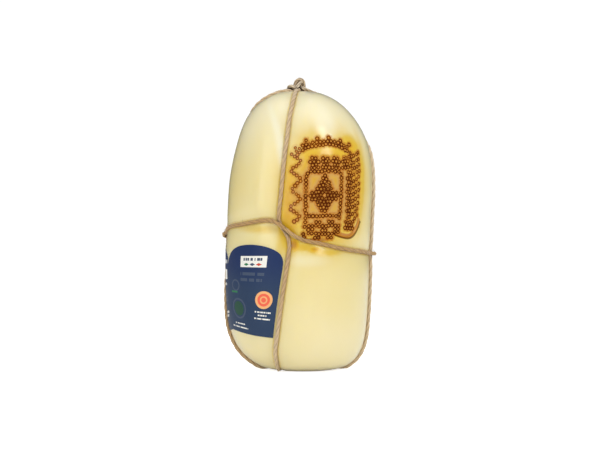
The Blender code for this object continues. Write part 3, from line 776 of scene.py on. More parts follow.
def burnTree():                      # a ring-shaped dent under each pin, on ground that the iron sank
    tree, given = newTree("burn the mark", [
        ("Pins", "Object", None), ("Ring radius", "Float", mark["ringRadius"]),
        ("Rim depth", "Float", mark["rimDepth"]), ("Ground depth", "Float", mark["groundDepth"]),
        ("Material", "Material", None)])
    pins = addNode(tree, "GeometryNodeObjectInfo", {"Object": given["Pins"]}).outputs["Geometry"]
    index = addNode(tree, "GeometryNodeSampleNearest", {"Geometry": pins})
    place = addNode(tree, "GeometryNodeInputPosition")
    values = {}
    for name in ("heat", "size"):
        value = addNode(tree, "GeometryNodeInputNamedAttribute", {"Name": name})
        values[name] = addNode(tree, "GeometryNodeSampleIndex",
                               {"Geometry": pins, "Value": value.outputs["Attribute"], "Index": index})
    pin = addNode(tree, "GeometryNodeSampleIndex", {"Geometry": pins, 1: place, "Index": index},
                  data_type="FLOAT_VECTOR")
    distance = addNode(tree, "ShaderNodeVectorMath", [place, pin], operation="DISTANCE")
    radius = addNode(tree, "ShaderNodeMath", [given["Ring radius"], values["size"]], operation="MULTIPLY")
    ring = addNode(tree, "ShaderNodeMath", [distance, radius], operation="DIVIDE")
    offRim = addNode(tree, "ShaderNodeMath", [ring, burn["rim"]], operation="SUBTRACT")
    wide = addNode(tree, "ShaderNodeMath", [offRim, burn["rimWidth"]], operation="DIVIDE")
    square = addNode(tree, "ShaderNodeMath", [wide, wide], operation="MULTIPLY")
    hot = addNode(tree, "ShaderNodeMath", [softHollow(tree, square), values["heat"]], operation="MULTIPLY")
    rimDrop = addNode(tree, "ShaderNodeMath", [hot, given["Rim depth"]], operation="MULTIPLY")
    ground = addNode(tree, "ShaderNodeMapRange", {"Value": distance, "From Min": burn["groundFrom"],
                     "From Max": burn["groundTo"], "To Min": 1.0, "To Max": 0.0},
                     interpolation_type="SMOOTHSTEP")
    grain = addNode(tree, "ShaderNodeTexNoise", {"Vector": place, "Scale": 1 / burn["grain"], "Detail": 2.0})
    change, steady = burn["roughness"]
    rough = addNode(tree, "ShaderNodeMath", [grain.outputs["Fac"], change, steady], operation="MULTIPLY_ADD")
    groundDrop = addNode(tree, "ShaderNodeMath", [ground, given["Ground depth"]], operation="MULTIPLY")
    drop = addNode(tree, "ShaderNodeMath", [groundDrop, rough, rimDrop], operation="MULTIPLY_ADD")
    geometry = given["Geometry"]
    for name, value in (("ringShare", ring), ("pinAt", distance), ("pinHeat", values["heat"])):
        geometry = addNode(tree, "GeometryNodeStoreNamedAttribute",
                           {"Geometry": geometry, "Name": name, "Value": value})
    sinkSurface(tree, geometry, drop, 1.0, given["Material"])
    return tree


# Where the iron's face dried the rind between its pins: middle and half sizes in mark space
ironed = {"at": np.array([-4.0, -3.0]), "half": np.array([19.0, 22.5]), "fade": 0.5}

# Where heat and pressed-out fat stained the rind, with painted shade along the belt and on the left flank: u,
# v, half width, half height in mark space, strength
stainsAndShade = [
    (-2.0, 0.0, 36.0, 43.0, 0.6),
    (-30.0, -8.0, 10.0, 38.0, 0.64),
    (17.0, 31.0, 13.0, 12.0, 0.46),
    (-18.0, 37.0, 11.0, 8.0, 0.2),
    (28.0, 4.0, 9.0, 38.0, 0.38),
    (-8.0, -36.6, 12.0, 2.6, 1.0),               # along both sides of the belt: stains, and painted shade under it
    (-26.0, -40.2, 4.2, 5.0, 0.84),
    (-10.0, -43.6, 4.5, 2.2, 0.72),
    (-18.0, -42.0, 10.0, 3.6, 0.34),
    (0.0, -46.0, 16.0, 3.2, 0.3),
    (-50.0, -28.6, 28.0, 3.8, 0.2),
    (-36.5, -42.0, 4.0, 13.0, 0.2),
    (-84.0, 2.0, 18.0, 44.0, 0.08),              # the left flank, yellower as it turns from the light: painted shade
]

# Painted highlights: patches painted paler than the rest where highlights fall, beside the front strand and
# on the shoulders
paintedHighlights = [
    (-38.8, 44.0, 3.2, 24.0, 0.95),
    (0.5, 51.0, 9.0, 13.0, 0.75),
    (-15.0, -52.0, 14.0, 4.4, 0.5),
]


def patchesAt(patches, places):      # the strongest patch at each place in mark space
    share = np.zeros(len(places))
    for middleU, middleV, halfU, halfV, strength in patches:
        away = np.linalg.norm((places - (middleU, middleV)) / (halfU, halfV), axis=1)
        share = np.maximum(share, strength * np.exp(-away**3))
    return share


# Cheese rind, brined, oiled and lightly waxed: satin gloss over a milky, faintly translucent yellow
rind = {
    "cream": "#ecdb98",
    "pale": "#f1e4b4",
    # the colour of painted light: the highlight patches and the paler top of the dome
    "paintedHighlight": "#f4edcf",
    "straw": "#ead47e",
    "deep": "#e2c04e",
    "gold": "#e3b528",
    "amber": "#cc921f",
    "darkAmber": "#a86a10",
    "beige": "#ca9c5e",
    "toast": "#ae621a",
    "toastLight": "#c88632",
    "scorch": "#c47e26",
    "char": "#561f00",
    "paintedFootShadow": "#80541c",               # painted contact shadow round the foot, where it stands
    "singe": "#864200",
    "ember": "#d28e38",
}

rindGrain = {                        # size and detail of each pattern
    "clouds": (60.0 * mm, 1.0),
    "blots": (10.0 * mm, 4.0),
    "blisters": (1.2 * mm, 3.0),     # curd dried to beads, drawn coarse enough to show
    "pores": (2.4 * mm, 3.0),
    "poreDepth": 0.04 * mm,
    "blisterDepth": 0.3 * mm,
    "blotchiness": (0.4, 0.8),       # how much of a stain the blots change, and how much stays
    "fraying": 2.0 * mm,             # by how much the toasted ground's edge wanders
}


def waxyRind():
    material, tree, shader = newMaterial("waxyRind", {
        "Subsurface Scale": 9 * mm, "Subsurface Radius": (1.0, 0.9, 0.5), "IOR": 1.45,
        "Specular IOR Level": 0.04, "Coat Roughness": 0.2})
    place = addNode(tree, "ShaderNodeTexCoord").outputs["Object"]
    height = addNode(tree, "ShaderNodeSeparateXYZ", [place]).outputs["Z"]
    near, stainAndShade, paintedHighlight, dried, ring, pinAt, heat, edge, lip = [
        addNode(tree, "ShaderNodeAttribute", attribute_name=name).outputs["Fac"]
        for name in ("nearTwine", "stainAndShade", "paintedHighlight", "ironed", "ringShare", "pinAt", "pinHeat", "ironEdge",
                     "ironLip")]
    clouds, blots, blisters, pores = [
        addNode(tree, "ShaderNodeTexNoise", {"Vector": place, "Scale": 1 / rindGrain[name][0],
                "Detail": rindGrain[name][1], "Roughness": 0.6}).outputs["Fac"]
        for name in ("clouds", "blots", "blisters", "pores")]
    frayed = addNode(tree, "ShaderNodeMath", [blisters, rindGrain["fraying"], pinAt],
                     operation="MULTIPLY_ADD")

    share = {}                       # smooth, from low at start to high at end
    for name, value, start, end, low, high in (
            ("cloudy", clouds, 0.3, 0.7, 0.15, 0.55),
            ("towardsFoot", height, 60 * mm, 15 * mm, 0.0, 0.5),
            ("ironed", frayed, 3.0 * mm, 9.0 * mm, 0.9, 0.0),
            ("browned", frayed, 2.4 * mm, 4.6 * mm, 0.95, 0.0),
            ("hot", heat, 0.45, 0.85, 0.3, 1.0),
            ("heart", ring, 0.36, 0.7, 0.95, 0.0),
            ("notCharred", heat, 0.9, 1.12, 1.0, 0.5)):
        share[name] = addNode(tree, "ShaderNodeMapRange",
                              {"Value": value, "From Min": start, "From Max": end, "To Min": low,
                               "To Max": high}, interpolation_type="SMOOTHSTEP")
    for name, first, second, operation in (
            ("pale", share["cloudy"], share["towardsFoot"], "ADD"),
            ("washed", share["ironed"], dried, "MULTIPLY"),
            ("toasted", share["browned"], share["hot"], "MULTIPLY"),
            ("ember", share["heart"], share["notCharred"], "MULTIPLY")):
        share[name] = addNode(tree, "ShaderNodeMath", [first, second], operation=operation)
    change, steady = rindGrain["blotchiness"]
    blotchy = addNode(tree, "ShaderNodeMath", [blots, change, steady], operation="MULTIPLY_ADD")
    blotchyStainAndShade = addNode(tree, "ShaderNodeMath", [stainAndShade, blotchy], operation="MULTIPLY")

    toast = layColours(tree, rind, linear(rind["toast"]), [("toastLight", (blisters, 0.35, 0.65, 0.0, 1.0))])
    burned = layColours(tree, rind, linear(rind["singe"]), [("char", (heat, 0.55, 0.95, 0.0, 1.0))])
    colour = layColours(tree, rind, linear(rind["cream"]), [
        ("pale", share["pale"]),
        # the top of the dome painted paler, as lit from above: painted light
        ("paintedHighlight", (height, 145 * mm, 205 * mm, 0.0, 0.65)),
        # deeper yellow beside the twine: partly fat stain, partly painted shade where the twine presses in
        ("straw", (near, 0.4, 0.95, 0.0, 0.15)),
        ("deep", (near, 0.9, 1.0, 0.0, 0.45)),
        # painted contact shadow along the foot
        ("paintedFootShadow", (height, 2.6 * mm, 0.3 * mm, 0.0, 0.42)),
        # stains, with painted shade under the belt and on the left flank
        ("deep", (blotchyStainAndShade, 0.0, 0.32, 0.0, 1.0)),
        ("gold", (blotchyStainAndShade, 0.25, 0.6, 0.0, 1.0)),
        ("amber", (blotchyStainAndShade, 0.5, 0.85, 0.0, 1.0)),
        ("darkAmber", (blotchyStainAndShade, 0.75, 1.05, 0.0, 0.8)),
        # painted highlight patches
        ("paintedHighlight", paintedHighlight),
        ("beige", share["washed"]),
        (toast, share["toasted"]),
        ("scorch", (edge, 0.3, 0.9, 0.0, 0.9)),
        ("char", (lip, 0.3, 0.9, 0.0, 0.8)),
        (burned, (ring, 1.0, 1.2, 1.0, 0.0)),
        ("ember", share["ember"])])

    dry = share["toasted"]           # dry and matt where it is burned, toasted or ironed
    for other in (lip, share["washed"]):
        dry = addNode(tree, "ShaderNodeMath", [dry, other], operation="MAXIMUM")
    for socket, end, low, high in (("Subsurface Weight", 0.9, 0.5, 0.0), ("Roughness", 0.9, 0.28, 0.6),
                                   ("Coat Weight", 0.8, 1.0, 0.0)):
        value = addNode(tree, "ShaderNodeMapRange", {"Value": dry, "From Min": 0.0, "From Max": end,
                        "To Min": low, "To Max": high}, interpolation_type="SMOOTHSTEP")
        setInputs(tree, shader, {socket: value})
    skin = addNode(tree, "ShaderNodeMath", [pores, rindGrain["poreDepth"]], operation="MULTIPLY")
    crust = addNode(tree, "ShaderNodeMath", [share["toasted"], rindGrain["blisterDepth"]],
                    operation="MULTIPLY")
    relief = addNode(tree, "ShaderNodeMath", [blisters, crust, skin], operation="MULTIPLY_ADD")
    raised = addNode(tree, "ShaderNodeBump", {"Strength": 1.0, "Distance": 1.0, "Height": relief})
    setInputs(tree, shader, {"Base Color": colour, "Normal": raised})
    return material


def rindRoute(places, lift):         # a line of mark-space points laid on the rind
    azimuth, way = markToRind(alongLine(places, mark["edgeStep"]))
    return surfacePoint(azimuth, way, lift) + centring


def addCheese(routes, material):
    thing = addCheeseBody()
    tools = [addPins()]
    places = readValues(thing.data.attributes["markPlace"].data, "vector")[:, :2]
    setValues(thing.data, "stainAndShade", patchesAt(stainsAndShade, places))
    setValues(thing.data, "paintedHighlight", patchesAt(paintedHighlights, places))
    fromMiddle = np.linalg.norm((places - ironed["at"]) / ironed["half"], axis=1)
    setValues(thing.data, "ironed", 1 - fade((fromMiddle - 1) / ironed["fade"]))
    tree = pressTree()
    for name in ("frontBack", "leftRight", "belt"):
        clearance = press["labelRoom"] if name == "leftRight" else 0.0
        addTree(thing, tree, {"Route": routes[name], "Clearance": clearance, "Material": material})
    edge = np.array(mark["ironEdge"])
    along = np.linspace(0, len(edge) - 1, mark["edgePoints"])
    edge = np.column_stack([smoothThrough(list(enumerate(axis)), along) for axis in edge.T])
    lip = edge + (edge - mark["frame"]["at"]) * mark["lipOut"]       # a darker line round the groove
    for name, line in (("ironEdge", edge), ("ironLip", lip)):
        values = press["iron"][name]
        tools.append(addRoute(name, [rindRoute(line.tolist(), values["lift"])]))
        addTree(thing, tree, {**values, "Route": tools[-1], "Stored as": name, "Material": material})
    addTree(thing, burnTree(), {"Pins": tools[0], "Material": material})
    piece = makePlain(thing, "cheeseRind")
    for tool in tools:
        bpy.data.objects.remove(tool, do_unlink=True)
    finishPiece(piece, "cheese")


# Twine: three yarns of jute laid together, with loose fibres standing off

cord = {
    "yarns": 3,
    "yarnRadius": 0.95 * mm,
    "layRadius": 0.58 * mm,          # from the twine's middle to a yarn's
    "lay": 20.0 * mm,                # length of one full twist
    "sides": 10,
    "step": 0.55 * mm,
    "unevenness": 0.09,              # thick and thin places, as a share
    "unevenLength": 9.0 * mm,
    "fibreDensity": 2.2e5,           # loose fibres on a square metre of yarn
    "fibreLength": 2.6 * mm,
    "fibreRadius": 0.035 * mm,
    "fibreTip": 0.35,                # its thickness there, as a share
    "fibreBend": 0.35,
    "fibrePoints": 5,
    "fibreRise": 0.75,               # how steadily they stand off; 0 is in any direction
    "fibreSizes": (0.35, 1.25),
    "fibreClear": 1.8,               # lengths off the ground; lower down they are pressed flat
    # painted shade where twine lies against twine
    "touchNear": 2.1 * mm,           # from another twine's middle
    "touchFade": 1.1 * mm,
    "touchShade": 0.95,
    "seed": 11,
}


def layTree():                       # lays yarns round a route and raises loose fibres on them
    tree, given = newTree("lay yarns into twine", [
        ("Yarns", "Int", cord["yarns"]), ("Yarn radius", "Float", cord["yarnRadius"]),
        ("Lay radius", "Float", cord["layRadius"]), ("Lay", "Float", cord["lay"]),
        ("Sides", "Int", cord["sides"]), ("Step", "Float", cord["step"]),
        ("Fibre density", "Float", cord["fibreDensity"]), ("Fibre length", "Float", cord["fibreLength"]),
        ("Fibre radius", "Float", cord["fibreRadius"]), ("Seed", "Int", cord["seed"]),
        ("Material", "Material", None)])
    steady = addNode(tree, "GeometryNodeSetCurveNormal", {"Curve": given["Geometry"]}, mode="MINIMUM_TWIST")
    route = addNode(tree, "GeometryNodeResampleCurve", {"Curve": steady}, mode="LENGTH")
    tree.links.new(given["Step"], route.inputs["Length"])

    # each yarn is a copy of the route, moved round it like a screw thread
    copies = addNode(tree, "GeometryNodeDuplicateElements",
                     {"Geometry": route, "Amount": given["Yarns"]}, domain="SPLINE")
    number = copies.outputs["Duplicate Index"]
    along = addNode(tree, "GeometryNodeSplineParameter").outputs["Length"]
    numbered = addNode(tree, "GeometryNodeStoreNamedAttribute",
                       {"Geometry": copies.outputs["Geometry"], "Name": "along", "Value": along})
    share = addNode(tree, "ShaderNodeMath", [number, given["Yarns"]], operation="DIVIDE")
    turns = addNode(tree, "ShaderNodeMath", [along, given["Lay"]], operation="DIVIDE")
    both = addNode(tree, "ShaderNodeMath", [turns, share], operation="ADD")
    angle = addNode(tree, "ShaderNodeMath", [both, fullTurn], operation="MULTIPLY")
    normal = addNode(tree, "GeometryNodeInputNormal").outputs["Normal"]
    tangent = addNode(tree, "GeometryNodeInputTangent")
    side = addNode(tree, "ShaderNodeVectorMath", [tangent, normal], operation="CROSS_PRODUCT")
    parts = []
    for direction, operation in ((normal, "COSINE"), (side, "SINE")):
        amount = addNode(tree, "ShaderNodeMath", [angle], operation=operation)
        parts.append(addNode(tree, "ShaderNodeVectorMath", {0: direction, "Scale": amount},
                             operation="SCALE"))
    outward = addNode(tree, "ShaderNodeVectorMath", [parts[0], parts[1]], operation="ADD")
    phase = addNode(tree, "ShaderNodeCombineXYZ", {"X": number, "Y": along})
    wander = addNode(tree, "ShaderNodeTexNoise",
                     {"Vector": phase, "Scale": 1 / cord["unevenLength"], "Detail": 2.0})
    uneven = addNode(tree, "ShaderNodeMapRange", {"Value": wander.outputs["Fac"], "From Min": 0.25,
                     "From Max": 0.75, "To Min": 1 - cord["unevenness"], "To Max": 1 + cord["unevenness"]})
    reach = addNode(tree, "ShaderNodeMath", [given["Lay radius"], uneven], operation="MULTIPLY")
    offset = addNode(tree, "ShaderNodeVectorMath", {0: outward, "Scale": reach}, operation="SCALE")
    laid = addNode(tree, "GeometryNodeSetPosition", {"Geometry": numbered, "Offset": offset})

    # the yarns' round section, with its own directions stored for the material
    rounded = addNode(tree, "GeometryNodeCurvePrimitiveCircle",
                      {"Resolution": given["Sides"], "Radius": given["Yarn radius"]})
    turn = addNode(tree, "GeometryNodeSplineParameter").outputs["Factor"]
    angle = addNode(tree, "ShaderNodeMath", [turn, fullTurn], operation="MULTIPLY")
    for name, operation in (("layX", "COSINE"), ("layY", "SINE")):
        value = addNode(tree, "ShaderNodeMath", [angle], operation=operation)
        rounded = addNode(tree, "GeometryNodeStoreNamedAttribute",
                          {"Geometry": rounded, "Name": name, "Value": value})
    yarns = addNode(tree, "GeometryNodeCurveToMesh", {"Curve": laid, "Profile Curve": rounded,
                    "Scale": uneven, "Fill Caps": True})
    middle = addNode(tree, "GeometryNodeCurveToMesh", {"Curve": route})
    inside = addNode(tree, "GeometryNodeProximity", {"Geometry": middle}, target_element="EDGES")
    deep = addNode(tree, "GeometryNodeStoreNamedAttribute", {"Geometry": yarns, "Name": "offAxis",
                   "Value": inside.outputs["Distance"]})
    smooth = addNode(tree, "GeometryNodeSetShadeSmooth", {"Geometry": deep})

    # loose fibres, scattered over the yarns, each bent a little and thinner at its tip
    place = addNode(tree, "GeometryNodeInputPosition")
    height = addNode(tree, "ShaderNodeSeparateXYZ", [place]).outputs["Z"]
    offGround = addNode(tree, "ShaderNodeMath", [height, cord["fibreClear"] * cord["fibreLength"]],
                        operation="GREATER_THAN")
    density = addNode(tree, "ShaderNodeMath", [offGround, given["Fibre density"]], operation="MULTIPLY")
    scattered = addNode(tree, "GeometryNodeDistributePointsOnFaces",
                        {"Mesh": smooth, "Density": density, "Seed": given["Seed"]})
    end = addNode(tree, "ShaderNodeCombineXYZ", {"Z": given["Fibre length"]})
    straight = addNode(tree, "GeometryNodeCurvePrimitiveLine", {"End": end})
    hair = addNode(tree, "GeometryNodeResampleCurve", {"Curve": straight, "Count": cord["fibrePoints"]})
    factor = addNode(tree, "GeometryNodeSplineParameter").outputs["Factor"]
    squared = addNode(tree, "ShaderNodeMath", [factor, factor], operation="MULTIPLY")
    bend = addNode(tree, "ShaderNodeMath", [squared, cord["fibreBend"] * cord["fibreLength"]],
                   operation="MULTIPLY")
    aside = addNode(tree, "ShaderNodeCombineXYZ", {"X": bend})
    bent = addNode(tree, "GeometryNodeSetPosition", {"Geometry": hair, "Offset": aside})
    thin = addNode(tree, "GeometryNodeCurvePrimitiveCircle", {"Resolution": 3,
                   "Radius": given["Fibre radius"]})
    taper = addNode(tree, "ShaderNodeMapRange", {"Value": factor, "To Min": 1.0, "To Max": cord["fibreTip"]})
    fibre = addNode(tree, "GeometryNodeCurveToMesh", {"Curve": bent, "Profile Curve": thin, "Scale": taper,
                    "Fill Caps": True})
    random = addNode(tree, "FunctionNodeRandomValue",
                     {"Min": (-1.0, -1.0, -1.0), "Max": (1.0, 1.0, 1.0), "Seed": given["Seed"]},
                     data_type="FLOAT_VECTOR")
    rising = addNode(tree, "ShaderNodeVectorMath",
                     {0: scattered.outputs["Normal"], "Scale": cord["fibreRise"]}, operation="SCALE")
    heading = addNode(tree, "ShaderNodeVectorMath", [rising, random], operation="ADD")
    turned = addNode(tree, "FunctionNodeAlignRotationToVector", {"Vector": heading}, axis="Z")
    smallest, largest = cord["fibreSizes"]
    size = addNode(tree, "FunctionNodeRandomValue", {"Min": smallest, "Max": largest,
                   "Seed": given["Seed"]}, data_type="FLOAT")
    fibres = addNode(tree, "GeometryNodeInstanceOnPoints",
                     {"Points": scattered.outputs["Points"], "Instance": fibre, "Rotation": turned,
                      "Scale": size})
    whole = addNode(tree, "GeometryNodeJoinGeometry", {"Geometry": smooth})
    tree.links.new(fibres.outputs[0], whole.inputs[0])
    endTree(tree, whole, given["Material"])
    return tree


# Jute, retted, spun and laid: dull straw-brown with paler and darker fibres along the yarns
jute = {
    "straw": "#ba915b",
    "pale": "#dcbc86",
    "brown": "#845c34",
    # pale tone for the twine's paler places and for painted light on its lit sides
    "paleAndLitTone": "#f0e0c4",
    "paintedShade": "#3e2a16",              # painted shade: between yarns and where twine lies on twine
    "streaks": 0.82 / 0.3,           # bundles 0.3 mm wide on a yarn's radius; single fibres don't show
    "streakLength": 9.0 * mm,
    "patchSize": 14.0 * mm,
    "creviceFrom": 1.35 * mm,        # from the twine's middle; a yarn is painted darker further in than this, as shade between the yarns
    "creviceDark": 0.95 * mm,
    "reliefDepth": 0.25 * mm,
}


def juteYarn():
    material, tree, shader = newMaterial("juteYarn", {
        "Roughness": 0.86, "Specular IOR Level": 0.25, "Sheen Weight": 0.35, "Sheen Roughness": 0.4})
    x, y, along, paleAndLit, offAxis, touch = [
        addNode(tree, "ShaderNodeAttribute", attribute_name=name).outputs["Fac"]
        for name in ("layX", "layY", "along", "paleAndLit", "offAxis", "touch")]
    slow = addNode(tree, "ShaderNodeMath", [along, 1 / jute["streakLength"]], operation="MULTIPLY")
    lay = addNode(tree, "ShaderNodeCombineXYZ", [x, y, slow])
    streaks = addNode(tree, "ShaderNodeTexNoise", {"Vector": lay, "Scale": jute["streaks"],
                      "Detail": 3.0, "Roughness": 0.6}).outputs["Fac"]
    place = addNode(tree, "ShaderNodeTexCoord").outputs["Object"]
    patches = addNode(tree, "ShaderNodeTexNoise",
                      {"Vector": place, "Scale": 1 / jute["patchSize"]}).outputs["Fac"]
    colour = layColours(tree, jute, linear(jute["brown"]), [
        ("pale", (streaks, 0.3, 0.7, 0.0, 1.0)),
        ("straw", (patches, 0.3, 0.7, 0.25, 0.85)),
        # paler in places, and painted light on the right side, towards the top and on the knot's top
        ("paleAndLitTone", paleAndLit),
        # painted shade between the yarns and where twine lies on twine
        ("paintedShade", (offAxis, jute["creviceDark"], jute["creviceFrom"], 0.6, 0.0)),
        ("paintedShade", touch)], "LINEAR")
    relief = addNode(tree, "ShaderNodeMath", [streaks, jute["reliefDepth"]], operation="MULTIPLY")
    raised = addNode(tree, "ShaderNodeBump", {"Strength": 1.0, "Distance": 1.0, "Height": relief})
    setInputs(tree, shader, {"Base Color": colour, "Normal": raised})
    return material


# How much the twine is painted paler, and where: a little everywhere; painted light on its right side,
# towards the top and on the knot's top in front; and paler towards the foot
palingAndPaintedLight = {
    "everywhere": 0.18,
    "right": {"from": 20.0 * mm, "over": 35.0 * mm, "by": 0.42},
    "high": [(110.0 * mm, 80.0 * mm, 0.2), (200.0 * mm, 15.0 * mm, 0.1)],      # from, over, by
    "low": {"below": 70.0 * mm, "over": 60.0 * mm, "by": 0.35},
    "cutEnd": {"from": 214.0 * mm, "over": 3.0 * mm, "depth": 2.0 * mm, "by": 0.4},
}


def paleAndLitTwine(piece, share):
    x, y, z = readValues(piece.data.vertices, "co").T
    right, low, cutEnd = [palingAndPaintedLight[name] for name in ("right", "low", "cutEnd")]
    # painted light on the right side, towards the top and on the knot's top; real paleness everywhere and
    # towards the foot
    aside = fade((np.abs(x) - right["from"]) / right["over"])
    paler = palingAndPaintedLight["everywhere"] + aside * np.where(x > 0.0, right["by"], 0.0)
    for start, over, more in palingAndPaintedLight["high"]:
        paler = paler + more * fade((z - start) / over)
    paler = paler + (1 - aside) * low["by"] * fade((low["below"] - z) / low["over"])
    inFront = fade((centring[1] - y) / cutEnd["depth"])
    paler = paler + cutEnd["by"] * inFront * fade((z - cutEnd["from"]) / cutEnd["over"])
    setValues(piece.data, "paleAndLit", share * paler)


# Knot: the twine's ends, knotted over the gathered strands; routes given in mm
knot = {
    "tightness": 0.84,               # the twine is drawn thinner there
    "routes": [
        [(9.5, 0.5, 212.9), (6.0, -0.4, 214.6), (2.4, -1.6, 216.0), (-1.2, -1.3, 216.4), (-4.3, -1.8, 217.0),
         (-7.0, -1.6, 217.8), (-8.7, 0.2, 217.0), (-8.6, 2.0, 215.0), (-6.4, 3.0, 214.4), (-4.5, 2.4, 216.0),
         (-4.0, 1.3, 218.6), (-2.9, 0.8, 221.6), (-0.3, 0.4, 223.2), (2.3, 0.6, 221.8), (3.2, 1.2, 218.9),
         (2.8, 1.6, 216.2), (1.2, 2.0, 213.8)],
        [(-4.4, -6.4, 212.2), (-3.5, -5.0, 213.8), (-2.5, -4.3, 215.8), (-1.4, -3.0, 218.2),
         (0.0, -1.4, 220.0), (1.1, 0.6, 220.6), (1.6, 2.5, 219.2), (0.8, 3.2, 216.8), (-0.6, 2.4, 214.0)],
        [(1.0, 1.8, 217.0), (0.4, 2.2, 220.4), (-1.2, 2.0, 221.9), (-2.9, 2.0, 219.4), (-3.4, 2.0, 216.4),
         (-5.0, 1.6, 215.4), (-6.8, 1.0, 215.8), (-7.3, 0.5, 216.6)],     # its tail, tucked in behind
    ],
    "step": 0.5,
    "climbEnd": 3.0 * mm,            # the strands stop so far from the top's pole and turn in under the knot
    "turnIn": (0.45, 0.45, 1.0),
    "turnUp": (0.5 * mm, 0.0, 1.6 * mm),
}


def smoothRoute(points):             # evenly spaced points on a smooth line through the given ones
    points = np.array(points, float)
    ways = np.concatenate([[0.0], np.cumsum(np.linalg.norm(np.diff(points, axis=0), axis=1))])
    at = np.linspace(0.0, ways[-1], round(ways[-1] / knot["step"]) + 1)
    return np.column_stack([smoothThrough(list(zip(ways, axis)), at) for axis in points.T]) * mm


def loopRoute(down, up):             # down one strand, under the foot, up the other and into the knot
    halves = []
    for strand in (down, up):
        climb = strandRoute(strand, knot["climbEnd"])
        halves.append(np.vstack([climb, climb[-1] * knot["turnIn"] + knot["turnUp"]]))
    return np.vstack([halves[0][:0:-1], halves[1]])


def routeLength(points, closed):
    ends = np.vstack([points, points[:1]]) if closed else points
    return np.linalg.norm(np.diff(ends, axis=0), axis=1).sum()


def routePoints(route):
    return np.vstack([readValues(spline.points, "co", 4)[:, :3] for spline in route.data.splines])


def darkenTouching(piece, others):   # painted shade: how closely each point of a twine lies against another twine
    middle = np.vstack([routePoints(route) for route in others])
    tree = kdtree.KDTree(len(middle))
    for i, point in enumerate(middle):
        tree.insert(point, i)
    tree.balance()
    away = np.array([tree.find(vertex.co)[2] for vertex in piece.data.vertices])
    closeness = 1 - fade((away - cord["touchNear"]) / cord["touchFade"])
    setValues(piece.data, "touch", cord["touchShade"] * closeness)


def addTwine(routes):
    tree, material = layTree(), juteYarn()
    for name, route, closed, thickness, paleAndLitTone, node in (
            ("twineFrontBack", "frontBack", False, 1.0, 1.0, "twine_front_back"),
            ("twineLeftRight", "leftRight", False, 1.0, 1.0, "twine_left_right"),
            ("twineBelt", "belt", True, 1.0, 0.1, "twine_belt"),
            ("twineKnot", "knot", False, knot["tightness"], 1.0, "twine_knot")):
        length = routeLength(routePoints(routes[route]), closed)
        copy = routes[route].copy()
        bpy.context.scene.collection.objects.link(copy)
        addTree(copy, tree, {"Yarn radius": cord["yarnRadius"] * thickness,
                             "Lay radius": cord["layRadius"] * thickness,
                             "Lay": length / round(length / cord["lay"]), "Material": material})
        piece = makePlain(copy, name)
        paleAndLitTwine(piece, paleAndLitTone)
        darkenTouching(piece, [other for key, other in routes.items() if key not in (route, "knot")])
        finishPiece(piece, node)


# Label: one sheet, two arched panels, from beside the front strand round to the back

label = {
    "gap": 0.12 * mm,
    "thickness": 0.16 * mm,
    "edgeGap": 3.2 * mm,
    "shoulderGap": 6.5 * mm,
    "bottomFront": 26.7 * mm,
    "bottomSide": 32.6 * mm,
    "shoulder": 81.5 * mm,
    "arch": 15.2 * mm,
    "archPower": 2.15,
    "coarseBeside": [0.0, 1.3, 2.6, 6.5],        # the solid's own columns, which its outline follows
    "coarseBetween": 10,
    "notchSteps": 7,
    "printHeight": 55.0,             # of the print below the shoulder, mm
    "steps": 19,                     # the solid's columns under it
    "across": 150,                   # its own grid
    "rows": 84,
    "pressRoom": 0.06 * mm,          # between it and the twine over it
    "pressSoftness": 1.7 * mm,
    "creaseAngle": 50,
    "lookups": 600,                  # steps in which a way is looked up
    "filmGrain": 0.5,                # mm, of the film's faint unevenness
    "filmRelief": 0.02 * mm,
    "pulp": 1.5 * mm,                # clumps of fibre in the cut paper, drawn coarse enough to show
}

# Film-faced label paper: satin navy print with a thin pale cut edge
ink = {
    "navy": "#273d5c",
    "nightBlue": "#182f5e",
    "paper": "#f1efe6",
    "white": "#f4f2ea",
    "grey": "#44526a",
    "green": "#2f7d4f",
    "leaf": "#27503f",
    "red": "#cf4a34",
    "orange": "#f7b678",
    "salmon": "#f4694e",
    "pulp": "#dcd8ca",
}


def labelColumns():                  # columns of the label on the solid's grid, front edge first
    places = columnPlaces(label["coarseBeside"], label["coarseBetween"])
    shoulder = len(places) - 3
    edge = (label["shoulderGap"] - label["edgeGap"]) / (label["shoulderGap"] - label["coarseBeside"][2] * mm)
    return places, np.array([shoulder + edge] + [shoulder - step for step in range(label["steps"] + 1)])


def labelPoint(across, share):       # azimuth, way and print place; across counts the solid's columns
    places, columns = labelColumns()
    count = len(columns) - 1
    column = np.interp(across, np.arange(count + 1), columns)
    turns = columnAzimuth(places, columns, np.full(count + 1, footArc))
    turn = np.interp(across, np.arange(count + 1), turns)
    notch = label["notchSteps"] + 1
    first = across <= notch
    start = np.where(first, turns[0], turns[notch])
    end = np.where(first, turns[notch], turns[count])
    part = np.clip((turn - start) / (end - start), 0.0, 1.0)
    arch = np.maximum(1 - np.abs(2 * part - 1) ** label["archPower"], 0.0) ** (1 / label["archPower"])
    outward = np.abs(2 * (turn - turns[0]) / (turns[count] - turns[0]) - 1)
    bottom = label["bottomSide"] + (label["bottomFront"] - label["bottomSide"]) * outward
    top = label["shoulder"] + label["arch"] * arch
    height = bottom + (top - bottom) * share
    waySteps = np.linspace(0.0, footArc + bellyLength, label["lookups"])
    way = np.interp(height, profile(waySteps, 0.0)[1], waySteps)
    azimuth = columnAzimuth(places, column, way)
    u = (turns[0] - turn) * body["bellyRadius"] / mm
    v = (height - bottom) / (label["shoulder"] - bottom) * label["printHeight"]
    return azimuth, way, u, v


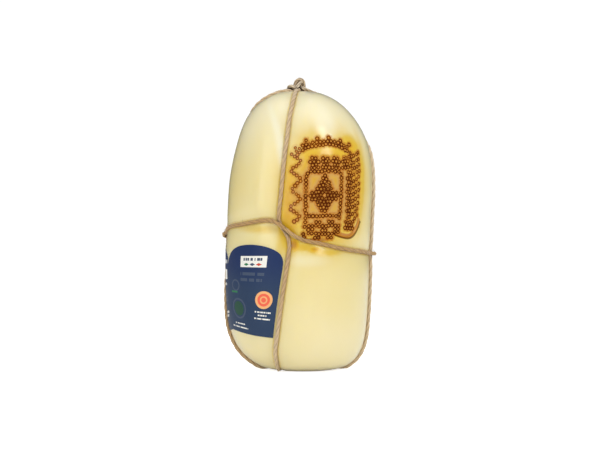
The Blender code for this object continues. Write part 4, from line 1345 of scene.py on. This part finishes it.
def addLabel(routes):
    count = label["steps"] + 1
    notch = label["notchSteps"] + 1
    easing = 0.5 - 0.5 * np.cos(np.linspace(0, math.pi, label["across"] // 2 + 1))   # finer at arch ends
    across = np.concatenate([notch * easing, notch + (count - notch) * easing[1:]])
    share = np.linspace(0.0, 1.0, label["rows"] + 1)
    grid = np.array([(a, s) for a in across for s in share])
    azimuth, way, u, v = labelPoint(*grid.T)
    points = surfacePoint(azimuth, way, 0.0)
    outward = bodyNormal(azimuth, way)
    points = points + outward * (unevenness(points) + label["gap"])[:, None] + centring
    rows = label["rows"] + 1
    faces = [(c * rows + r, c * rows + r + 1, (c + 1) * rows + r + 1, (c + 1) * rows + r)
             for c in range(len(across) - 1) for r in range(rows - 1)]
    thing = addMesh("labelSheet", points, faces)
    if thing.data.polygons[len(faces) // 2].normal.dot(Vector(outward[len(grid) // 2])) < 0:
        thing.data.flip_normals()
    setValues(thing.data, "outward", outward)
    printed = thing.data.uv_layers.new(name="print")
    corners = np.zeros(len(thing.data.loops), int)
    thing.data.loops.foreach_get("vertex_index", corners)
    printed.data.foreach_set("uv", np.stack([u, v], axis=-1)[corners].ravel())
    addTree(thing, bpy.data.node_groups["press under twine"],
            {"Route": routes["leftRight"], "Clearance": label["pressRoom"],
             "Softness": label["pressSoftness"], "Material": printedFilm()})
    piece = makePlain(thing, "printedLabel")
    piece.data.materials.append(cutPaper())
    wall = piece.modifiers.new("thickness", "SOLIDIFY")
    wall.thickness = label["thickness"]
    wall.offset = 1.0
    wall.material_offset_rim = 1
    piece = makePlain(piece, "labelPaper")
    piece.data.shade_smooth()
    piece.data.set_sharp_from_angle(angle=math.radians(label["creaseAngle"]))
    finishPiece(piece, "label")


# What is printed: plain fields, bars and rings, in mm from the label's lower front corner.
# Form, ink, u, v, half width and half height (of a ring, its radius and half width), length of a word
prints = [
    ("box", "white", 21.3, 57.8, 10.3, 4.4),
    ("bars", "grey", 21.3, 59.6, 7.6, 1.1, 1.7),
    ("lozenge", "green", 26.3, 55.6, 2.2, 1.2),
    ("lozenge", "grey", 21.3, 55.6, 2.2, 1.2),
    ("lozenge", "red", 16.3, 55.6, 2.2, 1.2),
    ("bars", "grey", 21.7, 48.1, 9.8, 1.2, 2.4),
    ("bars", "grey", 22.2, 43.4, 9.2, 1.2, 2.0),
    ("ring", "grey", 37.6, 38.4, 4.2, 0.6),
    ("bars", "green", 37.6, 33.0, 5.5, 0.7, 9.0),
    ("ring", "grey", 35.0, 19.8, 7.6, 0.7),
    ("disc", "leaf", 35.0, 19.8, 5.8, 5.8),
    ("disc", "orange", 10.8, 28.5, 6.8, 6.8),
    ("disc", "salmon", 10.8, 28.5, 4.9, 4.9),
    ("ring", "orange", 10.8, 28.5, 2.4, 0.5),
    ("bars", "white", 11.1, 19.0, 7.5, 0.55, 1.1),
    ("bars", "white", 11.4, 16.5, 4.0, 0.55, 0.9),
    ("bars", "white", 11.2, 13.9, 7.0, 0.55, 1.3),
    ("bars", "white", 35.8, 7.5, 6.9, 0.5, 1.5),
    ("bars", "white", 36.3, 4.4, 10.6, 0.5, 2.0),
    ("bars", "white", 62.0, 57.4, 12.0, 1.6, 2.4),
    ("box", "white", 60.0, 46.6, 9.0, 4.2),
    ("bars", "white", 66.0, 38.4, 13.0, 1.1, 2.2),
    ("bars", "grey", 68.0, 30.5, 15.0, 0.8, 1.8),
    ("bars", "grey", 68.0, 27.5, 15.0, 0.8, 2.1),
    ("bars", "grey", 66.0, 24.5, 13.0, 0.8, 1.6),
    ("bars", "white", 66.0, 15.0, 13.0, 0.9, 1.7),
    ("bars", "white", 66.0, 12.0, 13.0, 0.9, 2.3),
    ("disc", "orange", 91.0, 46.0, 6.0, 6.0),
    ("disc", "navy", 91.0, 46.0, 4.2, 4.2),
]
wordsFrom = 0.44                     # a line's noise above this is printed, as dashes like small print
inkTurn = (30.0, 62.0)               # heights between which the navy turns deeper, mm


def printMask(tree, u, v, form, middleU, middleV, halfU, halfV, word=None):    # 1 inside, 0 outside
    off = [addNode(tree, "ShaderNodeMath", [axis, middle], operation="SUBTRACT")
           for axis, middle in ((u, middleU), (v, middleV))]
    if form in ("disc", "ring"):
        place = addNode(tree, "ShaderNodeCombineXYZ", [off[0], off[1]])
        away = addNode(tree, "ShaderNodeVectorMath", [place], operation="LENGTH").outputs["Value"]
        if form == "ring":
            offRing = addNode(tree, "ShaderNodeMath", [away, halfU], operation="SUBTRACT")
            away = addNode(tree, "ShaderNodeMath", [offRing], operation="ABSOLUTE")
        return addNode(tree, "ShaderNodeMath", [away, halfV], operation="LESS_THAN")
    for axis, half in enumerate((halfU, halfV)):
        away = addNode(tree, "ShaderNodeMath", [off[axis]], operation="ABSOLUTE")
        off[axis] = addNode(tree, "ShaderNodeMath", [away, half], operation="DIVIDE")
    size = addNode(tree, "ShaderNodeMath", [off[0], off[1]],
                   operation="ADD" if form == "lozenge" else "MAXIMUM")
    mask = addNode(tree, "ShaderNodeMath", [size, 1.0], operation="LESS_THAN")
    if form == "bars":               # broken into short dashes, as lines of small print look
        letters = addNode(tree, "ShaderNodeMath", [u, 1.0 / word, middleV], operation="MULTIPLY_ADD")
        broken = addNode(tree, "ShaderNodeTexNoise", {"W": letters, "Scale": 1.0, "Detail": 1.0},
                         noise_dimensions="1D").outputs["Fac"]
        solid = addNode(tree, "ShaderNodeMath", [broken, wordsFrom], operation="GREATER_THAN")
        mask = addNode(tree, "ShaderNodeMath", [mask, solid], operation="MULTIPLY")
    return mask


def printedFilm():
    material, tree, shader = newMaterial("printedFilm", {"Roughness": 0.45, "Specular IOR Level": 0.3})
    place = addNode(tree, "ShaderNodeUVMap", uv_map="print")
    axes = addNode(tree, "ShaderNodeSeparateXYZ", [place])
    u, v = axes.outputs["X"], axes.outputs["Y"]
    colour = layColours(tree, ink, linear(ink["navy"]), [("nightBlue", (v, *inkTurn, 0.0, 1.0))])
    colour = layColours(tree, ink, colour, [(name, printMask(tree, u, v, form, *sizes))
                                            for form, name, *sizes in prints])
    fibres = addNode(tree, "ShaderNodeTexNoise", {"Vector": place, "Scale": 1 / label["filmGrain"],
                     "Detail": 3.0})
    relief = addNode(tree, "ShaderNodeMath", [fibres.outputs["Fac"], label["filmRelief"]],
                     operation="MULTIPLY")
    raised = addNode(tree, "ShaderNodeBump", {"Strength": 1.0, "Distance": 1.0, "Height": relief})
    setInputs(tree, shader, {"Base Color": colour, "Normal": raised})
    return material


# The label's cut edge: bare paper, matt and off-white
def cutPaper():
    material, tree, shader = newMaterial("cutPaper", {"Roughness": 0.9})
    place = addNode(tree, "ShaderNodeTexCoord").outputs["Object"]
    pulp = addNode(tree, "ShaderNodeTexNoise", {"Vector": place, "Scale": 1 / label["pulp"]})
    colour = layColours(tree, ink, linear(ink["paper"]), [("pulp", pulp.outputs["Fac"])])
    setInputs(tree, shader, {"Base Color": colour})
    return material


# Floor and lights: a white sweep of floor and five soft lights, the strip and the overhead seen as gloss

studio = {
    "floorRadius": 6.0,
    "floorColour": "#f4f4f2",
    "floorLevel": -0.05 * mm,
    "floorSeen": 0.72,               # paler to the eye than to the cheese
    "floorGlow": 0.08,
    "skySeen": 1.05,
    "skyLight": 0.42,
    "lights": [                      # name, azimuth, elevation, distance, width, height, watts, in the gloss
        ("stripLight", 41, 32, 1.5, 0.4, 1.0, 7.6, True),
        ("overheadLight", 68, 76, 1.3, 1.2, 1.2, 3.8, True),
        ("frontLight", -38, 18, 2.0, 1.6, 1.3, 10.9, True),
        ("leftLight", -92, 32, 1.6, 1.0, 1.2, 3.5, False),
        ("rightLight", 134, 16, 1.6, 1.0, 1.2, 4.2, False),
    ],
}


def addStudio():
    floor = bmesh.new()
    bmesh.ops.create_circle(floor, cap_ends=True, segments=64, radius=studio["floorRadius"])
    mesh = bpy.data.meshes.new("floor")
    floor.to_mesh(mesh)
    floor.free()
    thing = addThing("floor", mesh)
    thing.location = (0.0, 0.0, studio["floorLevel"])
    white = (1.0, 1.0, 1.0, 1.0)
    paint, tree, shader = newMaterial("whiteFloor", {"Roughness": 0.8, "Emission Color": white,
                                      "Base Color": linear(studio["floorColour"])})
    seen = addNode(tree, "ShaderNodeLightPath").outputs["Is Camera Ray"]
    glow = addNode(tree, "ShaderNodeMath", [seen, studio["floorSeen"], studio["floorGlow"]],
                   operation="MULTIPLY_ADD")
    setInputs(tree, shader, {"Emission Strength": glow})
    mesh.materials.append(paint)
    for name, azimuth, elevation, distance, width, height, watts, inGloss in studio["lights"]:
        data = bpy.data.lights.new(name, "AREA")
        data.shape = "RECTANGLE"
        data.size, data.size_y = width, height
        data.energy = watts
        azimuth, elevation = math.radians(azimuth), math.radians(elevation)
        heading = Vector((math.sin(azimuth) * math.cos(elevation), -math.cos(azimuth) * math.cos(elevation),
                          math.sin(elevation)))
        lamp = addThing(name, data)
        lamp.visible_glossy = inGloss
        lamp.location = Vector((0.0, 0.0, camera["height"])) + heading * distance
        lamp.rotation_euler = heading.to_track_quat("Z", "Y").to_euler()
    world = bpy.data.worlds.new("studio")
    world.use_nodes = True
    tree = world.node_tree
    seen = addNode(tree, "ShaderNodeLightPath").outputs["Is Camera Ray"]
    strength = addNode(tree, "ShaderNodeMapRange", {"Value": seen, "To Min": studio["skyLight"],
                       "To Max": studio["skySeen"]})
    setInputs(tree, tree.nodes["Background"], {"Color": white, "Strength": strength})
    world.cycles_visibility.glossy = False       # black cloths round the set, for the gloss
    bpy.context.scene.world = world
    bpy.context.scene.view_settings.view_transform = "Standard"


addStudio()
print("studio set")

routes = {
    "frontBack": addRoute("frontBack", [loopRoute(0, 2) + centring]),
    "leftRight": addRoute("leftRight", [loopRoute(3, 1) + centring]),
    "belt": addRoute("belt", [belt + centring], True),
    "knot": addRoute("knot", [smoothRoute(line) + centring for line in knot["routes"]]),
}
addCheese(routes, waxyRind())
addLabel(routes)
addTwine(routes)
for route in routes.values():
    bpy.data.objects.remove(route, do_unlink=True)
